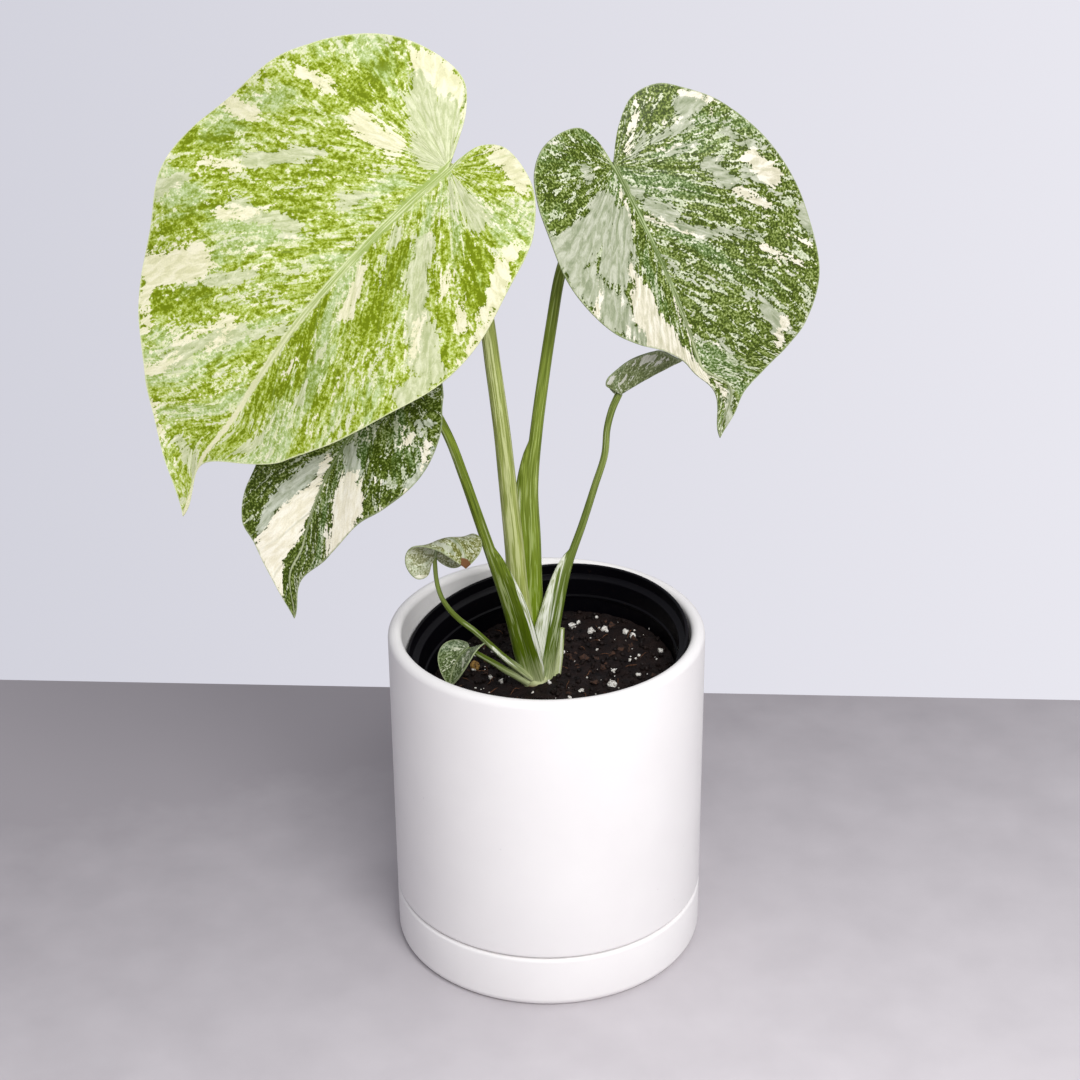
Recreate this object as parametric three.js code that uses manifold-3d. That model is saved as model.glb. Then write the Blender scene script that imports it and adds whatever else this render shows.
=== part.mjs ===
// A young variegated monstera in a black nursery pot, dropped into a white ceramic cylinder on its saucer.
// Millimetres, +Z up, origin at the centre of the saucer's underside. The plant's best view is from -Y.
import * as THREE from 'three';
import { mergeVertices } from 'three/addons/utils/BufferGeometryUtils.js';
import Module from 'manifold-3d';

// Driving dimensions
const GAP = 0.3;                    // clearance left between pieces that touch
const ROUND_SIDES = 40;             // facets round the ceramic

const SAUCER_RADIUS = 65;
const SAUCER_TOP = 23.6;            // top of the saucer's rim
const SAUCER_WALL = 4.7;
const SAUCER_FLOOR = 5;

const POT_RADIUS = 65;              // outside of the ceramic cylinder, flush with the saucer
const POT_TOP = 143.7;
const POT_WALL = 5.7;
const POT_FOOT_RADIUS = 58;         // the narrower foot that drops inside the saucer
const POT_FLOOR = 15.8;             // top of the ceramic floor
const POT_FLOOR_THICK = 7;
const POT_DRAIN_RADIUS = 7;

const NURSERY_HEIGHT = 115;
const NURSERY_RIM_RADIUS = 58.5;
const NURSERY_BASE_RADIUS = 41;
const NURSERY_WALL = 1.1;
const NURSERY_LEAN = 8.9;           // degrees from upright
const NURSERY_LEAN_HEADING = 45;    // the rim's high side, degrees from +X towards +Y
const NURSERY_RIM_CENTRE = new THREE.Vector3(0, 0.6, 136);
const NURSERY_DRAINS = 6;
const NURSERY_DRAIN_RADIUS = 4;
const NURSERY_DRAIN_REACH = 28;      // from the base's centre to each hole's centre

const SOIL_BELOW_RIM = 21.5;
const SOIL_MOUND = 3.2;             // the mix stands this much higher round the stem
const SOIL_MOUND_AT = [-7, 3];      // the stem's place from the nursery pot's axis
const SOIL_GRAINS = 24;             // the largest perlite and bark pieces, fused into the surface

const CROWN = new THREE.Vector3(-4.5, 6.5, 118);   // where the leaf stalks leave the rootstock
const BLADE_THICKNESS = 0.8;

const DEGREE = Math.PI / 180;

// Materials
const plain = (color, roughness) => new THREE.MeshStandardMaterial({ color, roughness, metalness: 0 });
const glazedWhite = plain('#ecebe8', 0.35);
const blackPlastic = plain('#1d1d20', 0.45);
const pottingMix = plain('#2a1d17', 0.95);
const rootSkin = plain('#8f7a56', 0.8);
const paleLeaf = plain('#a9bf5c', 0.4);
const darkLeaf = plain('#6d8656', 0.4);
const stalkSkin = plain('#7f9f3e', 0.45);
const dryTissue = plain('#b9b98a', 0.8);

// Solid modelling: geometry in, closed solid out
const wasm = await Module();
wasm.setup();

function toSolid(geometry) {
  const bare = geometry.index ? geometry.clone() : geometry;
  bare.deleteAttribute('normal');
  bare.deleteAttribute('uv');
  const merged = mergeVertices(bare, 1e-4);
  const vertProperties = new Float32Array(merged.attributes.position.array);
  const corners = [];
  const index = merged.index.array;
  for (let i = 0; i < index.length; i += 3) {
    const [a, b, c] = index.slice(i, i + 3);
    if (a !== b && b !== c && c !== a) corners.push(a, b, c);
  }
  return new wasm.Manifold(new wasm.Mesh({ numProp: 3, vertProperties, triVerts: new Uint32Array(corners) }));
}

function toGeometry(solid) {
  const { vertProperties, triVerts, numProp } = solid.getMesh();
  const positions = new Float32Array((vertProperties.length / numProp) * 3);
  for (let i = 0; i < positions.length / 3; i += 1) {
    positions.set(vertProperties.slice(i * numProp, i * numProp + 3), i * 3);
  }
  const geometry = new THREE.BufferGeometry();
  geometry.setAttribute('position', new THREE.BufferAttribute(positions, 3));
  geometry.setIndex(new THREE.BufferAttribute(new Uint32Array(triVerts), 1));
  return geometry;
}

// A cut can leave crumbs beside the piece, so only its largest body is kept.
function largestBody(solid) {
  const bodies = solid.decompose();
  return bodies.reduce((best, body) => (body.volume() > best.volume() ? body : best));
}

const piece = (name, geometry, material) => {
  const mesh = new THREE.Mesh(geometry, material);
  mesh.name = name;
  return mesh;
};

// A profile of [radius, height] pairs turned about the Z axis. Profiles run anticlockwise in the
// radius-height plane, and the last point joins back to the first.
function turned(profile, sides = ROUND_SIDES) {
  const points = [...profile, profile[0]].map(([r, z]) => new THREE.Vector2(r, z));
  const geometry = new THREE.LatheGeometry(points, sides);
  geometry.rotateX(Math.PI / 2);
  return geometry;
}

// Saucer: a shallow dish with a rounded rim, flush with the cylinder that stands in it
function saucer() {
  const inner = SAUCER_RADIUS - SAUCER_WALL;
  return turned([
    [0, 0], [SAUCER_RADIUS - 3, 0], [SAUCER_RADIUS - 1, 0.6], [SAUCER_RADIUS, 2.2],
    [SAUCER_RADIUS, SAUCER_TOP - 1.6], [SAUCER_RADIUS - 0.5, SAUCER_TOP - 0.5],
    [SAUCER_RADIUS - 1.6, SAUCER_TOP], [inner + 0.8, SAUCER_TOP], [inner, SAUCER_TOP - 0.8],
    [inner, SAUCER_FLOOR + 3], [inner - 3, SAUCER_FLOOR], [0, SAUCER_FLOOR],
  ]);
}

// Ceramic cylinder: thick rounded lip, foot ring, one drain hole in the floor
function ceramicPot() {
  const inner = POT_RADIUS - POT_WALL;
  const foot = SAUCER_FLOOR + GAP;
  const underside = POT_FLOOR - POT_FLOOR_THICK;
  const shoulder = SAUCER_TOP + 0.7;
  return turned([
    [POT_DRAIN_RADIUS, underside], [POT_FOOT_RADIUS - 6.5, underside], [POT_FOOT_RADIUS - 6, foot],
    [POT_FOOT_RADIUS - 1.5, foot], [POT_FOOT_RADIUS, foot + 1.5], [POT_FOOT_RADIUS, shoulder],
    [POT_RADIUS - 1.4, shoulder], [POT_RADIUS - 0.3, shoulder + 0.7], [POT_RADIUS, shoulder + 1.9],
    [POT_RADIUS, POT_TOP - 5], [POT_RADIUS - 0.4, POT_TOP - 2.4], [POT_RADIUS - 1.4, POT_TOP - 0.7],
    [POT_RADIUS - 2.8, POT_TOP], [inner + 1.7, POT_TOP - 0.5], [inner + 0.5, POT_TOP - 2],
    [inner, POT_TOP - 4.6], [inner, POT_FLOOR + 4], [inner - 1.2, POT_FLOOR + 1.2],
    [inner - 4, POT_FLOOR], [POT_DRAIN_RADIUS, POT_FLOOR],
  ]);
}

// Nursery pot: thin tapered plastic with a stepped lip and a ring of drain holes.
// It is drawn upright on its own axis, and leans inside the ceramic.
const nurseryWall = (z) => {
  const top = NURSERY_RIM_RADIUS - 2.6;
  return NURSERY_BASE_RADIUS + (top - NURSERY_BASE_RADIUS) * (z / NURSERY_HEIGHT);
};

function nurseryPot() {
  const H = NURSERY_HEIGHT;
  const lip = NURSERY_RIM_RADIUS;
  const inside = (z, inwards = 0) => [nurseryWall(z) - NURSERY_WALL - inwards, z];
  const shell = toSolid(turned([
    [0, 0], [NURSERY_BASE_RADIUS - 1, 0], [NURSERY_BASE_RADIUS, 1.4],
    [nurseryWall(H - 6), H - 6], [lip - 0.3, H - 5.4], [lip, H - 0.5], [lip - 0.5, H],
    [lip - 1.3, H - 0.2], [lip - 1.6, H - 4.6],
    inside(H - 5.4), inside(H - 13.4), inside(H - 13.8, 0.7), inside(H - 14.8, 0.7), inside(H - 15.4),
    inside(1.3), [0, 1.3],
  ]));
  const drill = new THREE.CylinderGeometry(NURSERY_DRAIN_RADIUS, NURSERY_DRAIN_RADIUS, 6, 10);
  drill.rotateX(Math.PI / 2);
  let drilled = shell;
  for (let i = 0; i < NURSERY_DRAINS; i += 1) {
    const heading = (i / NURSERY_DRAINS) * 2 * Math.PI;
    const hole = drill.clone();
    hole.translate(NURSERY_DRAIN_REACH * Math.cos(heading), NURSERY_DRAIN_REACH * Math.sin(heading), 0);
    drilled = drilled.subtract(toSolid(hole));
  }
  return toGeometry(drilled);
}

function nurseryPlacement() {
  const tilt = NURSERY_LEAN * DEGREE;
  const heading = NURSERY_LEAN_HEADING * DEGREE;
  const axis = new THREE.Vector3(-Math.cos(heading) * Math.sin(tilt), -Math.sin(heading) * Math.sin(tilt),
    Math.cos(tilt));
  const turn = new THREE.Quaternion().setFromUnitVectors(new THREE.Vector3(0, 0, 1), axis);
  const base = NURSERY_RIM_CENTRE.clone().addScaledVector(axis, -NURSERY_HEIGHT);
  return new THREE.Matrix4().compose(base, turn, new THREE.Vector3(1, 1, 1));
}

// Repeatable random numbers between 0 and 1
function seeded(seed) {
  let state = seed;
  return () => {
    state = (state * 1664525 + 1013904223) % 4294967296;
    return state / 4294967296;
  };
}

// Potting mix: fills the nursery pot, with a low uneven top and its largest grains standing proud
const soilLevel = NURSERY_HEIGHT - SOIL_BELOW_RIM;
const soilRadius = nurseryWall(soilLevel) - NURSERY_WALL - GAP;
const soilHeight = (x, y) => {
  const swell = Math.sin(x / 9 + 0.6) * Math.cos(y / 8) + 0.6 * Math.sin(x / 4 - y / 5);
  const atWall = Math.min(1, Math.hypot(x, y) / soilRadius) ** 4;
  const mound = SOIL_MOUND * Math.exp(-((x - SOIL_MOUND_AT[0]) ** 2 + (y - SOIL_MOUND_AT[1]) ** 2) / 200);
  return soilLevel + 0.8 * swell * (1 - atWall) + 0.6 * atWall + mound;
};

function pottingSoil() {
  const rings = [0, 10, 20, 30, 40, soilRadius];
  const profile = [[0, 1.6], [NURSERY_BASE_RADIUS - NURSERY_WALL - 1, 1.6]];
  rings.slice().reverse().forEach((r) => profile.push([r, soilLevel]));
  const bed = turned(profile, 30);
  const spots = bed.attributes.position;
  for (let i = 0; i < spots.count; i += 1) {
    if (spots.getZ(i) > soilLevel - 1) spots.setZ(i, soilHeight(spots.getX(i), spots.getY(i)));
  }
  let soil = toSolid(bed);
  const random = seeded(11);
  for (let i = 0; i < SOIL_GRAINS; i += 1) {
    const size = 1.3 + 1.3 * random();
    const reach = (soilRadius - 4) * Math.sqrt(random());
    const heading = 2 * Math.PI * random();
    const grain = new THREE.IcosahedronGeometry(size, 0);
    grain.rotateZ(6 * random());
    grain.scale(1, 0.8, 0.75);
    const x = reach * Math.cos(heading);
    const y = reach * Math.sin(heading);
    grain.translate(x, y, soilHeight(x, y) + 0.2 * size);
    soil = soil.add(toSolid(grain));
  }
  return soil;
}

// Rootstock: the short stem that all leaves grow from, with thick roots going down into the mix
const ROOT_HEADINGS = [20, 95, 160, 235, 305];

function rootstock(grow = 0) {
  const stem = turned([
    [0, -34 - grow], [2.5 + grow, -32 - grow], [5.5 + grow, -20], [7 + grow, -8], [7.6 + grow, -2],
    [6.4 + grow, 1.2 + grow], [0, 2 + grow],
  ], 14);
  stem.translate(CROWN.x, CROWN.y, CROWN.z);
  let solid = toSolid(stem);
  ROOT_HEADINGS.forEach((degrees, i) => {
    const out = new THREE.Vector3(Math.cos(degrees * DEGREE), Math.sin(degrees * DEGREE), 0);
    const start = CROWN.clone().add(new THREE.Vector3(0, 0, -10 - 3 * i));
    const stops = [[0, 0], [9, -5], [17, -15], [21, -30 + 2 * i]];
    const path = stops.map(([r, z]) => start.clone().addScaledVector(out, r).add(new THREE.Vector3(0, 0, z)));
    const taper = [2.2, 1.9, 1.6, 1.0];
    solid = solid.add(toSolid(stalkGeometry({ path, radius: taper, grow, sides: 5, steps: 6 })));
  });
  return solid;
}

// Leaf stalk: a tube whose radius changes along its path. Low down, one edge runs out into the thin
// wing of the sheath that wrapped the next leaf. A wing is { heading, from, to, width }: its heading
// round the stalk from the stalk's right hand, where it starts and ends along the stalk, its width.
function alongList(list, t) {
  const place = t * (list.length - 1);
  const i = Math.min(Math.floor(place), list.length - 2);
  return THREE.MathUtils.lerp(list[i], list[i + 1], place - i);
}

function wingReach(wing, t, angle) {
  if (t < wing.from || t > wing.to) return 0;
  const rise = Math.sin((Math.PI * (t - wing.from)) / (wing.to - wing.from)) ** 0.7;
  const side = Math.max(0, Math.cos(angle - wing.heading * DEGREE)) ** 9;
  return wing.width * rise * side;
}

function stalkGeometry({ path, radius, wings = [], grow = 0, sides = 12, steps = 18 }) {
  const curve = new THREE.CatmullRomCurve3(path, false, 'centripetal');
  const length = curve.getLength();
  const geometry = new THREE.CylinderGeometry(1, 1, 1, sides, steps);
  const spots = geometry.attributes.position;
  const front = new THREE.Vector3(0, -1, 0);
  for (let i = 0; i < spots.count; i += 1) {
    const x = spots.getX(i);
    const z = spots.getZ(i);
    const t = spots.getY(i) + 0.5;
    const centre = curve.getPointAt(t);
    const tangent = curve.getTangentAt(t);
    centre.addScaledVector(tangent, grow * (2 * t - 1));
    const right = new THREE.Vector3().crossVectors(front, tangent).negate().normalize();
    const toFront = new THREE.Vector3().crossVectors(tangent, right).negate();
    const angle = Math.atan2(z, x);
    const wing = wings.reduce((sum, each) => sum + wingReach(each, t, angle), 0);
    const reach = Math.hypot(x, z) * (alongList(radius, t) + wing + grow);
    centre.addScaledVector(right, reach * Math.cos(angle)).addScaledVector(toFront, reach * Math.sin(angle));
    spots.setXYZ(i, centre.x, centre.y, centre.z);
  }
  return geometry;
}

const route = (...stops) => stops.map(([x, y, z]) => new THREE.Vector3(x, y, z));

const STALKS = {
  leaf_1: {
    path: route([-6, 6, 119], [-11, 6, 152], [-13, 5, 180], [-15, 5, 204], [-17, 5, 228], [-20, 7, 254],
      [-24, 11, 285], [-31, 14, 316], [-35, 6, 331], [-34.8, -1, 336.5]),
    radius: [4.6, 4.4, 4.0, 3.6, 3.3, 3.1, 2.8, 2.6, 2.4],
  },
  leaf_2: {
    path: route([-3, 8, 119], [-5.2, 10, 150], [-5.2, 11, 177], [-5.6, 12, 200], [-3.4, 14, 224], [3, 20, 267],
      [7, 24, 288], [14, 28, 306], [22, 24, 323], [26.6, 16.8, 331.6]),
    radius: [4.6, 4.2, 3.4, 2.8, 2.5, 2.3, 2.2, 2.1, 2.0],
    wings: [{ heading: 170, from: 0.02, to: 0.4, width: 3.5 }],
  },
  leaf_3: {
    path: route([-7.5, 3, 119], [-14.6, -2, 152], [-21.3, -6, 177], [-27, -9, 198], [-32, -11, 216],
      [-37, -12, 232], [-43, -10, 244], [-49, -7, 252], [-53.7, -9.2, 257.4]),
    radius: [4.0, 3.6, 3.0, 2.5, 2.2, 2.0, 1.9, 1.8, 1.8],
    wings: [{ heading: 15, from: 0.0, to: 0.42, width: 5.5 }],
  },
  leaf_4: {
    path: route([0, 4, 119], [4, 6, 142], [9, 9, 166], [15, 11, 184], [20, 13, 200], [24, 15, 213],
      [25, 16, 224], [27, 16, 232.5], [28.8, 16.2, 237.4]),
    radius: [3.4, 2.6, 2.0, 1.8, 1.6, 1.5, 1.4, 1.4, 1.4],
    wings: [{ heading: 165, from: -0.15, to: 0.42, width: 6.5 }],
  },
  leaf_5: {
    path: route([-8, 0, 121], [-17, -5, 131], [-23, -8, 139], [-29, -11, 147], [-35, -14, 154],
      [-39, -16, 160], [-42, -18, 167], [-43.5, -18, 174], [-44, -18, 183]),
    radius: [2.1, 1.7, 1.4, 1.3, 1.2, 1.1, 1.0, 0.9, 0.9],
    wings: [{ heading: 80, from: 0.0, to: 0.35, width: 2.2 }],
    sides: 10,
    steps: 14,
  },
  leaf_6: {
    path: route([-10, -1, 119.5], [-17, -4, 125], [-21, -6, 129], [-25.5, -9.5, 134], [-31, -13.4, 139.6]),
    radius: [1.9, 1.6, 1.3, 1.1, 1.0],
    sides: 10,
    steps: 8,
  },
};

// An old sheath cut off short beside the newest stalks
const CUT_SHEATH = {
  path: route([4.2, 4, 117], [5.6, 5.5, 128], [6.4, 6.6, 138.5]),
  radius: [1.9, 1.5, 1.1],
  sides: 8,
  steps: 4,
};

// Leaf blades. Each outline is the leaf pressed flat: [along, across] from where the stalk joins, with
// along measured down the midrib to the tip and across measured out from the midrib. The left half is
// the one towards the leaf's own left-hand side as its upper face is seen with the tip down.
// A blade then bends: both halves fold up from the midrib over the keel's width, roll back towards the
// margin, and the whole leaf arches towards its tip. The midrib bows sideways and hooks at the drip tip.
const LEAVES = {
  leaf_1: {
    attach: [-35, -2, 337], toTip: [-0.66, -0.24, -0.71], face: [-0.24, -0.83, 0.5], length: 171,
    halfWidth: 75, fold: 14, keel: 8, roll: 20, arch: 16, bow: 8, hook: 10, rows: 20, columns: 7,
    wave: { height: 1.6, length: 62, phase: 0.5 },
    left: [[0, 0], [-10, 4], [-20, 9], [-28, 17], [-29, 30], [-23, 50], [-9, 67], [8, 77], [32, 81],
      [53, 84], [72, 81], [90, 71], [110, 61], [124, 50], [136, 34], [148, 18], [160, 10], [171, 0]],
    right: [[0, 0], [-6, -1], [-14, -4], [-19, -12], [-17, -27], [-12, -36], [0, -46], [18, -54],
      [40, -61], [62, -61], [84, -53], [104, -43], [121, -31], [136, -20], [150, -7], [160, -3], [171, 0]],
  },
  leaf_2: {
    attach: [27, 16, 332], toTip: [0.43, -0.22, -0.87], face: [0.4, -0.82, 0.41], length: 117,
    halfWidth: 60, fold: 20, keel: 6, roll: 18, arch: 18, bow: -2, hook: -6, rows: 18, columns: 6,
    wave: { height: 1.4, length: 48, phase: 1.4 },
    left: [[0, 0], [-6, 0.5], [-12, 2], [-18, 6], [-20, 15], [-18, 28], [-11, 37], [0, 42], [12, 44],
      [30, 45], [43, 42], [54, 36], [63, 27], [72, 15], [82, 6], [92, 3], [104, 3], [117, 0]],
    right: [[0, 0], [-5, -3], [-13, -9], [-20, -18], [-20, -29], [-14, -38], [-4, -49], [8, -56],
      [26, -61], [44, -64], [62, -61], [76, -56], [87, -47], [93, -34], [98, -20], [104, -9],
      [111, -6], [117, 0]],
  },
  leaf_3: {
    attach: [-54, -10, 258], toTip: [-0.49, -0.36, -0.79], face: [-0.34, -0.76, 0.56], length: 106,
    halfWidth: 42, fold: 14, keel: 5, roll: 14, arch: 20, bow: 10, hook: 4, rows: 16, columns: 5,
    wave: { height: 1.6, length: 36, phase: 0 },
    left: [[0, 0], [-6, 3], [-13, 8], [-16, 18], [-11, 28], [2, 34], [20, 35], [40, 31], [56, 29],
      [70, 30], [80, 27], [86, 18], [94, 10], [101, 5], [106, 0]],
    right: [[0, 0], [-6, -3], [-10, -9], [-6, -16], [3, -24], [12, -32], [24, -36], [37, -36], [48, -31],
      [58, -23], [70, -17], [84, -9], [95, -4], [106, 0]],
  },
  leaf_4: {
    attach: [29.9, 16.5, 239.2], toTip: [0.7, 0.69, 0.15], face: [-0.01, -0.2, 0.98], length: 38,
    halfWidth: 13, fold: 79, keel: 4, roll: 3, arch: 7, bow: 0, hook: 0, rows: 12, columns: 4,
    wave: { height: 0.5, length: 22, phase: 0 },
    left: [[0, 0], [-2, 1], [-5, 3.5], [-6, 7], [-4, 11], [3, 13], [13, 13], [23, 11.3], [31, 6.6], [38, 0]],
    right: [[0, 0], [-2, -1], [-4, -3.5], [-5, -7], [-2, -10], [6, -11.7], [16, -11], [26, -8.3],
      [32, -4.5], [38, 0]],
  },
  leaf_5: {
    attach: [-44, -18, 184.6], toTip: [0.05, 0.2, 0.98], face: [-0.73, 0.68, -0.1], length: 29,
    halfWidth: 16, fold: -10, keel: 4, roll: -19, arch: 190, bow: 0, hook: 0, rows: 14, columns: 4,
    wave: { height: 0.5, length: 20, phase: 0 },
    left: [[0, 0], [-3.5, 2.6], [-8, 7.5], [-8.4, 13], [-2.2, 16], [6.5, 15.8], [15, 13], [23.7, 7], [29, 0]],
    right: [[0, 0], [-3.5, -3], [-7, -8], [-6, -13.4], [0, -16], [7.5, -16], [16.5, -14], [24, -9],
      [29, 0]],
  },
  leaf_6: {
    attach: [-31.8, -14, 140.6], toTip: [-0.62, -0.78, -0.06], face: [-0.25, 0.12, 0.96], length: 19.4,
    halfWidth: 13, fold: 12, keel: 2.5, roll: -19, arch: 66, bow: 0, hook: 0, rows: 10, columns: 4,
    wave: { height: 0.3, length: 20, phase: 0 },
    left: [[0, 0], [-2.6, 1.8], [-4.6, 5.3], [-3, 9], [1.6, 10.5], [7.3, 9.6], [13, 6.1], [19.4, 0]],
    right: [[0, 0], [-1.6, -2], [-2.4, -6], [-0.8, -10], [3.4, -11.7], [9, -10.6], [14.6, -6], [19.4, 0]],
  },
};

// One half of the pressed leaf as rows of veins. A row leaves the midrib, or the stalk's end in the
// lobes, and sweeps out to the margin. LOBE_SHARE of the margin's length is fed from the stalk's end.
const LOBE_SHARE = 0.25;

function pressedHalf(leaf, outline, side, rows, columns) {
  const margin = new THREE.CatmullRomCurve3(outline.map(([a, c]) => new THREE.Vector3(a, c, 0)), false,
    'centripetal');
  margin.arcLengthDivisions = 400;
  const grid = [];
  for (let i = 0; i <= rows; i += 1) {
    const s = i / rows;
    const past = Math.max(0, (s - LOBE_SHARE) / (1 - LOBE_SHARE));
    const root = new THREE.Vector3(leaf.length * past ** 1.15, 0, 0);
    const reach = margin.getPointAt(s).sub(root);
    const sweep = s < LOBE_SHARE ? 0.05 * (1 - s / LOBE_SHARE) : -0.1 * Math.sin(Math.PI * past);
    const aside = new THREE.Vector3(reach.y, -reach.x, 0).multiplyScalar(side * sweep);
    const row = [];
    for (let j = 0; j <= columns; j += 1) {
      const t = (j / columns) ** 1.25;
      row.push(root.clone().addScaledVector(reach, t).addScaledVector(aside, 4 * t * (1 - t)));
    }
    grid.push(row);
  }
  return grid;
}

// From the pressed leaf to its place: along and across in, a point on the blade's middle surface out
function bladePoint(leaf, along, across) {
  const tip = new THREE.Vector3(...leaf.toTip).normalize();
  const face = new THREE.Vector3(...leaf.face);
  face.addScaledVector(tip, -face.dot(tip)).normalize();
  const sideways = new THREE.Vector3().crossVectors(tip, face);

  const width = Math.abs(across);
  const side = Math.sign(across);
  const fold = leaf.fold * DEGREE;
  const keelRadius = leaf.keel / fold;
  const keel = Math.min(width, leaf.keel) / keelRadius;
  const over = Math.max(width - leaf.keel, 0);
  const turn = (leaf.roll * DEGREE) / (leaf.halfWidth - leaf.keel);
  const out = keelRadius * Math.sin(keel) + (Math.sin(fold) - Math.sin(fold - turn * over)) / turn;
  const ripple = leaf.wave.height * (width / leaf.halfWidth) ** 2
    * Math.sin((2 * Math.PI * along) / leaf.wave.length + leaf.wave.phase * side);
  const lift = keelRadius * (1 - Math.cos(keel)) + (Math.cos(fold - turn * over) - Math.cos(fold)) / turn
    + ripple;

  const share = Math.min(Math.max(along / leaf.length, 0), 1);
  const hookShare = Math.max(0, (share - 0.72) / 0.28);
  const bow = leaf.bow * Math.sin(Math.PI * share) + leaf.hook * Math.sin(Math.PI * hookShare) ** 2;
  const arch = (leaf.arch * DEGREE) / leaf.length;
  const swing = arch * along;
  const up = face.clone().multiplyScalar(Math.cos(swing)).addScaledVector(tip, Math.sin(swing));
  return new THREE.Vector3(...leaf.attach)
    .addScaledVector(tip, Math.sin(swing) / arch)
    .addScaledVector(face, (Math.cos(swing) - 1) / arch)
    .addScaledVector(sideways, bow + side * out)
    .addScaledVector(up, lift);
}

function bladeNormal(leaf, along, across) {
  const step = 0.2;
  const down = bladePoint(leaf, along + step, across).sub(bladePoint(leaf, along - step, across));
  const over = bladePoint(leaf, along, across + step).sub(bladePoint(leaf, along, across - step));
  return new THREE.Vector3().crossVectors(over, down).normalize();
}

// Upper and lower faces are the same grid, set apart by the blade's thickness, so their triangles match.
// The midrib stands out below as a rib that thins towards the tip.
function bladeGeometry(leaf, grow = 0) {
  const { rows, columns } = leaf;
  const leftHalf = pressedHalf(leaf, leaf.left, 1, rows, columns);
  const rightHalf = pressedHalf(leaf, leaf.right, -1, rows, columns);
  const across = 2 * columns + 1;
  const sheet = new THREE.PlaneGeometry(1, 1, 2 * columns, rows);
  const upper = [];
  const lower = [];
  for (let i = 0; i <= rows; i += 1) {
    for (let j = -columns; j <= columns; j += 1) {
      const { x: a, y: c } = (j < 0 ? leftHalf : rightHalf)[i][Math.abs(j)];
      const normal = bladeNormal(leaf, a, c);
      const centre = bladePoint(leaf, a, c);
      const rib = j === 0 ? 0.9 * (1 - i / rows) : 0;
      upper.push(centre.clone().addScaledVector(normal, BLADE_THICKNESS / 2 + grow));
      lower.push(centre.clone().addScaledVector(normal, -BLADE_THICKNESS / 2 - rib - grow));
    }
  }
  const count = upper.length;
  const top = [];
  const cells = sheet.index.array;
  for (let k = 0; k < cells.length; k += 3) top.push([cells[k], cells[k + 1], cells[k + 2]]);
  const bottom = top.map(([a, b, c]) => [a + count, c + count, b + count]);
  const rim = [];
  for (let j = 0; j < across - 1; j += 1) rim.push(j);
  for (let i = 0; i < rows; i += 1) rim.push(i * across + across - 1);
  for (let j = across - 1; j > 0; j -= 1) rim.push(rows * across + j);
  for (let i = rows; i > 0; i -= 1) rim.push(i * across);
  const edge = rim.flatMap((a, k) => {
    const b = rim[(k + 1) % rim.length];
    return [[a, b, b + count], [a, b + count, a + count]];
  });
  const geometry = new THREE.BufferGeometry();
  geometry.setFromPoints([...upper, ...lower]);
  geometry.setIndex([...top, ...bottom, ...edge].flat());
  return geometry;
}

// Putting it together. In the crowded crown the front stalks stay whole and those behind make room.
const plant = new THREE.Group();
const stalkSolid = (stalk, grow = 0) => toSolid(stalkGeometry({ ...stalk, grow }));
const rootSolid = rootstock();
const rootClearance = rootstock(GAP);

const standing = { ...STALKS, cut_sheath: CUT_SHEATH };
const frontToBack = ['leaf_5', 'leaf_6', 'leaf_4', 'leaf_3', 'leaf_1', 'leaf_2', 'cut_sheath'];
const clearances = [rootClearance];
const stalkSolids = {};
frontToBack.forEach((name) => {
  const whole = stalkSolid(standing[name]);
  stalkSolids[name] = largestBody(clearances.reduce((solid, other) => solid.subtract(other), whole));
  clearances.push(stalkSolid(standing[name], GAP));
});

Object.entries(LEAVES).forEach(([name, leaf]) => {
  const blade = toSolid(bladeGeometry(leaf));
  const stalk = largestBody(stalkSolids[name].subtract(toSolid(bladeGeometry(leaf, GAP))));
  plant.add(piece(`${name}_blade`, toGeometry(blade), name === 'leaf_1' ? paleLeaf : darkLeaf));
  plant.add(piece(`${name}_petiole`, toGeometry(stalk), stalkSkin));
});
plant.add(piece('cut_sheath', toGeometry(stalkSolids.cut_sheath), dryTissue));
plant.add(piece('rootstock', toGeometry(rootSolid), rootSkin));

const placement = nurseryPlacement();
const soilInPlace = toSolid(toGeometry(pottingSoil()).applyMatrix4(placement));
const soilCut = largestBody(clearances.reduce((solid, other) => solid.subtract(other), soilInPlace));

const pots = new THREE.Group();
pots.add(piece('saucer', saucer(), glazedWhite));
pots.add(piece('ceramic_pot', ceramicPot(), glazedWhite));
const nursery = piece('nursery_pot', nurseryPot(), blackPlastic);
nursery.applyMatrix4(placement);
pots.add(nursery);
pots.add(piece('soil', toGeometry(soilCut), pottingMix));

const pottedMonstera = new THREE.Group();
pottedMonstera.add(pots, plant);
export default pottedMonstera;
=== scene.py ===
import bisect
import math
import random

import bmesh
import bpy
from mathutils import Matrix, Vector, noise


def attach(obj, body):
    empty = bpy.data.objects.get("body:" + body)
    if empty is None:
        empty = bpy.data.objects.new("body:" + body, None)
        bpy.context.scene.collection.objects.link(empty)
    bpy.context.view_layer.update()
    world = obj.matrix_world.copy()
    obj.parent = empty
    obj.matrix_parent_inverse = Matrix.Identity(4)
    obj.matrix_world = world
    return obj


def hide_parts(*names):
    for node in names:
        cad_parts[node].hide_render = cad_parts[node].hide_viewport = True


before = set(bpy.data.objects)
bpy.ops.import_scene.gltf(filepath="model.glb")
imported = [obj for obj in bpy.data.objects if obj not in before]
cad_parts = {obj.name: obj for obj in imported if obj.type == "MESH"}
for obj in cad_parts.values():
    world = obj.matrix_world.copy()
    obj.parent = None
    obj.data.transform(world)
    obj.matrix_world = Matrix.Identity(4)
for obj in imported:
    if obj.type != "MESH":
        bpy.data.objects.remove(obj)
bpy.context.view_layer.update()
MM = 0.001


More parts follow.
